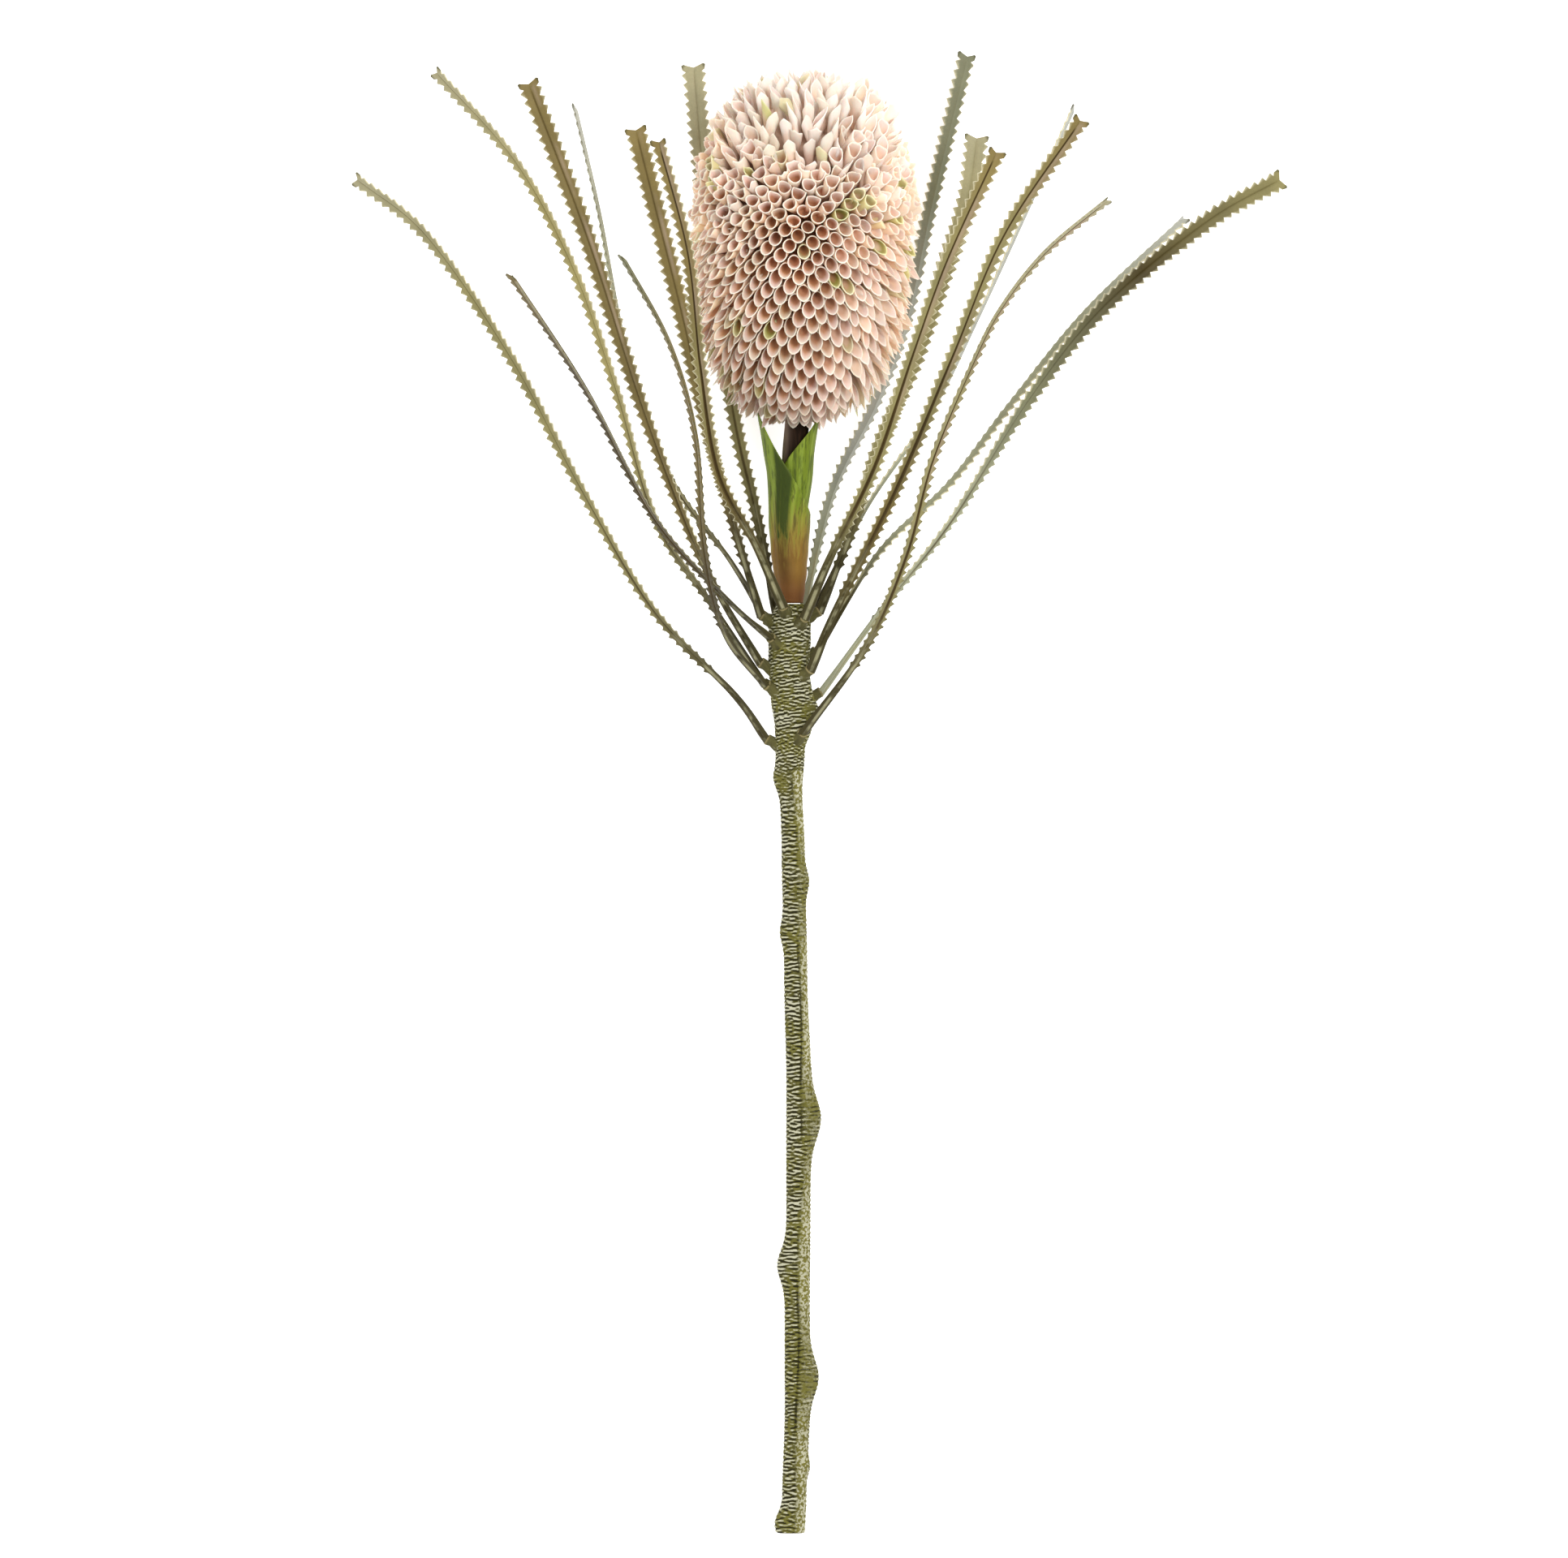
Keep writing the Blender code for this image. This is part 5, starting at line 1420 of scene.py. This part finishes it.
def leaf_sides(rows, width, settings):
    """Place across and height of every column of a leaf's section, at every station."""
    distance, core, edge, _ = rows.T
    thick, thin = settings.thickness / MM, settings.edge / MM
    body = thick + (LEAF_BASE_THICKNESS - thick) * hill(distance, LEAF_BASE_REACH)
    xs, zs = [], []
    for place, face in LEAF_COLUMNS:
        x = np.sign(place) * edge if abs(place) == 2 else place * core
        inwards = np.clip(1 - np.abs(x) / np.maximum(edge, 0.1), 0, 1)
        local = thin + (body - thin) * inwards**LEAF_ROUNDNESS
        pillow = (face == 1) * LEAF_PILLOW * hill(abs(place) - LEAF_PILLOW_PLACE, LEAF_PILLOW_SPAN)
        middle = (LEAF_GROOVE if face == 1 else LEAF_KEEL) if place == 0 else 0.0
        xs.append(x + (face == 0) * LEAF_EDGE_BULGE * np.sign(place))
        zs.append(LEAF_FOLD * np.abs(x) / (0.5 * width) + face * 0.5 * local + pillow - middle)
    return np.stack(xs, axis=1), np.stack(zs, axis=1)


def leaf_path(leaf):
    """The curve through the leaf's seat and its points, a little past the last one."""
    points = [leaf_seat(leaf)[1], *np.array(leaf.route, float)]
    points[-1] = points[-1] + LEAF_HORN_OVERREACH * unit(points[-1] - points[-2])
    return smooth_path(points)


def leaf_directions(leaf, places, marks, distance):
    """Directions along a leaf, across it and out of its upper face."""
    heading = unit(read_path(places, marks, distance + 1.0) - read_path(places, marks, distance - 1.0))
    start, end = LEAF_TURNING
    share = rise(distance / marks[-1], start, end - start)
    roll = leaf.base_roll + (leaf.tip_roll - leaf.base_roll) * share**2 * (3 - 2 * share)
    roll = np.radians(roll)[:, None]
    up = np.array([0.0, 0.0, 1.0])
    level = unit(up - (heading @ up)[:, None] * heading)
    face = np.cos(roll) * level - np.sin(roll) * np.cross(heading, level)
    return heading, np.cross(heading, face), face


def leaf_values(leaf, rows, length, settings):
    """What the material reads at the blade's rings, the horns and the foot of a leaf."""
    place, side = np.array(LEAF_COLUMNS).T
    outer = np.abs(place) == 2
    spots = np.where(outer, LEAF_EDGE_SPOT, np.abs(place))
    half = rows[:, 1:2]
    distance = rows[:, :1]
    along = distance / length
    strong = leaf.rib == 1
    folded = LEAF_FOLDED_RIB * rise(along, *LEAF_FOLDED)
    rib = np.maximum(leaf.rib, folded) * rise(length - distance - LEAF_HORN_LENGTH, 1.5, 2.0)
    rib_half = LEAF_RIB_HALF * (1 + np.maximum(rise(along, *LEAF_BROAD_RIB) * strong, folded))
    stripe = hill(spots - LEAF_STRIPE_SPOT, LEAF_STRIPE_SPANS[strong]) * (place > 0) * (leaf.rib > 0.3)
    rim = np.maximum(side == 0, LEAF_RIM_SHARE * outer) * DULL_EDGES.get(leaf.name, 1.0)

    def spread(blade, horns=0.0, foot=0.0):
        """One value for each of the leaf's points."""
        rings = np.broadcast_to(blade, (len(rows), len(LEAF_COLUMNS))).ravel()
        return np.concatenate([rings, np.broadcast_to(horns, len(HORN_DARKNESS)), [foot]])

    place_along = spread(along, 1.0)
    stops = np.array([getattr(settings, tone)[:] for tone in leaf.tones.split()])
    return {
        "along": place_along,
        "across": spread(spots * half, LEAF_FAR, 1.0),
        "under": spread(side < 0, np.repeat([0.0, 1.0], len(HORN_PLACES)), 1.0),
        "tooth": spread(rows[:, 3:] * outer, HORN_DARKNESS),
        "rim": spread(rim),
        "rib": spread(rib),
        "from_rib": spread(spots * half / rib_half, LEAF_FAR, LEAF_FAR),
        "stripe": spread(stripe),
        "tone": np.stack([np.interp(place_along, TINT_STOPS, stops[:, k]) for k in range(3)], axis=-1),
    }


def make_leaf(leaf, settings, material):
    """A saw-toothed blade with a strap at its base, a grooved midrib and two horns at its tip."""
    places, marks = leaf_path(leaf)
    length = marks[-1]
    draw = np.random.RandomState(sum(map(ord, leaf.name)))
    strap = EARLY_TEETH.get(leaf.name, settings.strap / MM)
    rows = leaf_stations(length, leaf.width, strap, settings, draw)
    distance = rows[:, 0]
    centre = read_path(places, marks, distance)
    centre[0] = centre[0] - LEAF_FOOT_DEPTH * unit(places[1] - places[0])
    heading, aside, face = leaf_directions(leaf, places, marks, distance)
    xs, zs = leaf_sides(rows, leaf.width, settings)
    body = centre[:, None, :] + xs[:, :, None] * aside[:, None, :] + zs[:, :, None] * face[:, None, :]
    horns, horn_faces = leaf_horns(centre[-1], length - distance[-1], heading[-1],
                                   0.5 * leaf.width * aside[-1], face[-1], settings.edge / MM)
    points = np.concatenate([body.reshape(-1, 3), horns, centre[:1]])
    count, columns = xs.shape
    faces = [
        grid_faces(count, columns),
        horn_faces + (count - 1) * columns,
        fans(0, columns, len(points) - 1, True),
    ]
    if leaf.name in RESTING_LEAVES:
        points = rest_on_surface(points)
    values = leaf_values(leaf, rows, length, settings)
    make_piece("blade_" + leaf.name, points, faces, material, ["leaf_" + leaf.name], values,
               crease=LEAF_CREASE)


def leaf_horns(centre, reach, heading, half_across, face, thin):
    """The two horns at a leaf's tip: points over and under the blade, and the faces that close the tip."""
    points = []
    for side in (0.5, -0.5):
        for across, up in HORN_PLACES:
            lift = LEAF_FOLD * abs(across) + side * thin
            points.append(centre + up * reach * heading + across * half_across + lift * face)
    # The blade's last ring has the numbers 0 to 17, and the horns' points follow it
    low = len(HORN_PLACES)
    columns = len(LEAF_COLUMNS)
    notch, in_l, in_r, out_l, out_r, tip_l, tip_r, top_l, top_r = range(columns, columns + low)
    under_notch, under_in_l, under_in_r, under_out_l, under_out_r = range(columns + low, columns + low + 5)
    under_tip_l, under_tip_r, under_top_l, under_top_r = range(columns + low + 5, columns + 2 * low)
    over = [
        (0, 1, out_l), (1, 2, out_l), (2, in_l, out_l), (out_l, in_l, tip_l), (out_l, tip_l, top_l),
        (2, 3, in_l), (3, 4, notch), (3, notch, in_l), (4, 5, notch), (5, in_r, notch), (5, 6, in_r),
        (6, out_r, in_r), (6, 7, out_r), (7, 8, out_r), (out_r, tip_r, in_r), (out_r, top_r, tip_r),
    ]
    below = [
        (16, under_out_l, 15), (15, under_out_l, 14), (14, under_out_l, under_in_l),
        (under_out_l, under_tip_l, under_in_l), (under_out_l, under_top_l, under_tip_l),
        (14, under_in_l, 13), (13, under_in_l, under_notch), (13, under_notch, 12),
        (12, under_notch, under_in_r), (12, under_in_r, 11), (11, under_in_r, under_out_r),
        (11, under_out_r, 10), (under_out_r, under_in_r, under_tip_r),
        (under_out_r, under_tip_r, under_top_r),
    ]
    edge = [out_l, top_l, tip_l, in_l, notch, in_r, tip_r, top_r, out_r]
    walls = []
    for a, b in zip(edge, edge[1:]):
        walls += [(a, b, b + low), (a, b + low, a + low)]
    walls += [(17, 0, out_l), (17, out_l, under_out_l), (16, 17, under_out_l)]
    walls += [(8, 9, out_r), (9, under_out_r, out_r), (9, 10, under_out_r)]
    return np.array(points), np.array(over + below + walls)


def rest_on_surface(points):
    """Bends the outer part of a leaf so that its lowest point lies on the surface."""
    lowest = points[np.argmin(points[:, 2])]
    reach = np.linalg.norm(lowest - points[0])
    share = np.minimum(1.0, np.linalg.norm(points - points[0], axis=1) / reach)
    bent = points.copy()
    bent[:, 2] -= lowest[2] * share**2
    return bent


# Stage

VIEW_CENTRE = (-5.0, 6.3)  # the picture's centre, in the design's frame
MIDDLE_HEIGHT = 45.0
SENSOR = 36.0
FLOOR_HALF = 30.0  # in metres, like the next numbers
FLOOR_LEVEL = -0.0004
LAMPS = [  # name, place, size and share of the key light's power
    ("key", (0.9, 0.7, 2.2), 1.0, 1.0),
    ("fill", (-1.4, -0.6, 1.8), 1.4, 0.35),
]
WHITE = (1.0, 1.0, 1.0, 1.0)


def make_stage(settings):
    """A plain pale floor, soft light from above and a camera that looks straight down."""
    scene = bpy.context.scene
    mesh = bpy.data.meshes.new("floor")
    corners = [(-1, -1), (1, -1), (1, 1), (-1, 1)]
    mesh.from_pydata([(x * FLOOR_HALF, y * FLOOR_HALF, FLOOR_LEVEL) for x, y in corners], [], [(0, 1, 2, 3)])
    floor = bpy.data.objects.new("floor", mesh)
    material, nodes, shader = start_material("floor", 0.9, 0.1)
    colour, _ = add_mottle(nodes, tint(settings.floor), 3.0, 0.01, 60.0, 0.005)
    nodes.feed(shader.inputs["Base Color"], colour)
    shader.inputs["Emission Color"].default_value = WHITE
    shader.inputs["Emission Strength"].default_value = settings.glow
    mesh.materials.append(material)
    scene.collection.objects.link(floor)
    for name, place, across, share in LAMPS:
        lamp = bpy.data.lights.new(name, "AREA")
        lamp.shape = "DISK"
        lamp.size = across
        lamp.energy = settings.key * share
        held = bpy.data.objects.new(name, lamp)
        held.location = place
        held.rotation_euler = (-Vector(place)).to_track_quat("-Z", "Y").to_euler()
        held.visible_camera = False
        scene.collection.objects.link(held)
    world = bpy.data.worlds.new("studio")
    world.use_nodes = True
    background = world.node_tree.nodes["Background"]
    background.inputs["Color"].default_value = WHITE
    background.inputs["Strength"].default_value = settings.sky
    scene.world = world
    scene.view_settings.view_transform = "Standard"
    lens = bpy.data.cameras.new("camera")
    lens.sensor_width = SENSOR
    distance = settings.camera_height - MIDDLE_HEIGHT * MM
    lens.lens = SENSOR * distance / settings.view_width
    lens.clip_start = 0.1
    lens.clip_end = 100.0
    camera = bpy.data.objects.new("camera", lens)
    camera.location = ((VIEW_CENTRE[0] + SHIFT[0]) * MM, (VIEW_CENTRE[1] + SHIFT[1]) * MM,
                       settings.camera_height)
    scene.collection.objects.link(camera)
    scene.camera = camera


# Operators and panel

class BANKSIA_OT_stem(bpy.types.Operator):
    """Builds the bark, the leaf cushions and the sawn face"""

    bl_idname = "banksia.stem"
    bl_label = "Stem"

    def execute(self, context):
        make_stem(context.scene.banksia_stem)
        return {"FINISHED"}


class BANKSIA_OT_stalk(bpy.types.Operator):
    """Builds the flower stalk"""

    bl_idname = "banksia.stalk"
    bl_label = "Flower stalk"

    def execute(self, context):
        make_stalk(context.scene.banksia_stem)
        return {"FINISHED"}


class BANKSIA_OT_sheaths(bpy.types.Operator):
    """Builds the two sheath leaves round the stalk"""

    bl_idname = "banksia.sheaths"
    bl_label = "Sheath leaves"

    def execute(self, context):
        settings = context.scene.banksia_sheath
        material = sheath_material(settings)
        for sheath in SHEATHS:
            make_sheath(sheath, settings, material)
        return {"FINISHED"}


class BANKSIA_OT_head(bpy.types.Operator):
    """Builds the flower head's core and its rolled bracts"""

    bl_idname = "banksia.head"
    bl_label = "Flower head"

    def execute(self, context):
        make_core(context.scene.banksia_head)
        make_bracts(context.scene.banksia_head)
        return {"FINISHED"}


class BANKSIA_OT_leaves(bpy.types.Operator):
    """Builds the saw-toothed leaves"""

    bl_idname = "banksia.leaves"
    bl_label = "Leaves"

    def execute(self, context):
        settings = context.scene.banksia_leaves
        material = leaf_material(settings)
        for leaf in LEAVES:
            make_leaf(leaf, settings, material)
        return {"FINISHED"}


class BANKSIA_OT_stage(bpy.types.Operator):
    """Makes the floor, the light and the camera"""

    bl_idname = "banksia.stage"
    bl_label = "Stage"

    def execute(self, context):
        make_stage(context.scene.banksia_stage)
        return {"FINISHED"}


OPERATORS = (
    BANKSIA_OT_stem,
    BANKSIA_OT_stalk,
    BANKSIA_OT_sheaths,
    BANKSIA_OT_head,
    BANKSIA_OT_leaves,
    BANKSIA_OT_stage,
)


class BANKSIA_PT_panel(bpy.types.Panel):
    """Lists the pieces of the flower"""

    bl_idname = "BANKSIA_PT_panel"
    bl_label = "Banksia flower"
    bl_space_type = "VIEW_3D"
    bl_region_type = "UI"
    bl_category = "Banksia"

    def draw(self, context):
        for operator in OPERATORS:
            self.layout.operator(operator.bl_idname)


SETTINGS = {
    "banksia_stem": BanksiaStem,
    "banksia_sheath": BanksiaSheath,
    "banksia_head": BanksiaHead,
    "banksia_leaves": BanksiaLeaves,
    "banksia_stage": BanksiaStage,
}


def register():
    for kind in (*SETTINGS.values(), *OPERATORS, BANKSIA_PT_panel):
        bpy.utils.register_class(kind)
    for name, kind in SETTINGS.items():
        setattr(bpy.types.Scene, name, PointerProperty(type=kind))


def unregister():
    for name in SETTINGS:
        delattr(bpy.types.Scene, name)
    for kind in reversed((*SETTINGS.values(), *OPERATORS, BANKSIA_PT_panel)):
        bpy.utils.unregister_class(kind)


def main():
    register()
    bpy.ops.banksia.stem()
    bpy.ops.banksia.stalk()
    bpy.ops.banksia.sheaths()
    bpy.ops.banksia.head()
    bpy.ops.banksia.leaves()
    bpy.ops.banksia.stage()


if __name__ == "__main__":
    main()
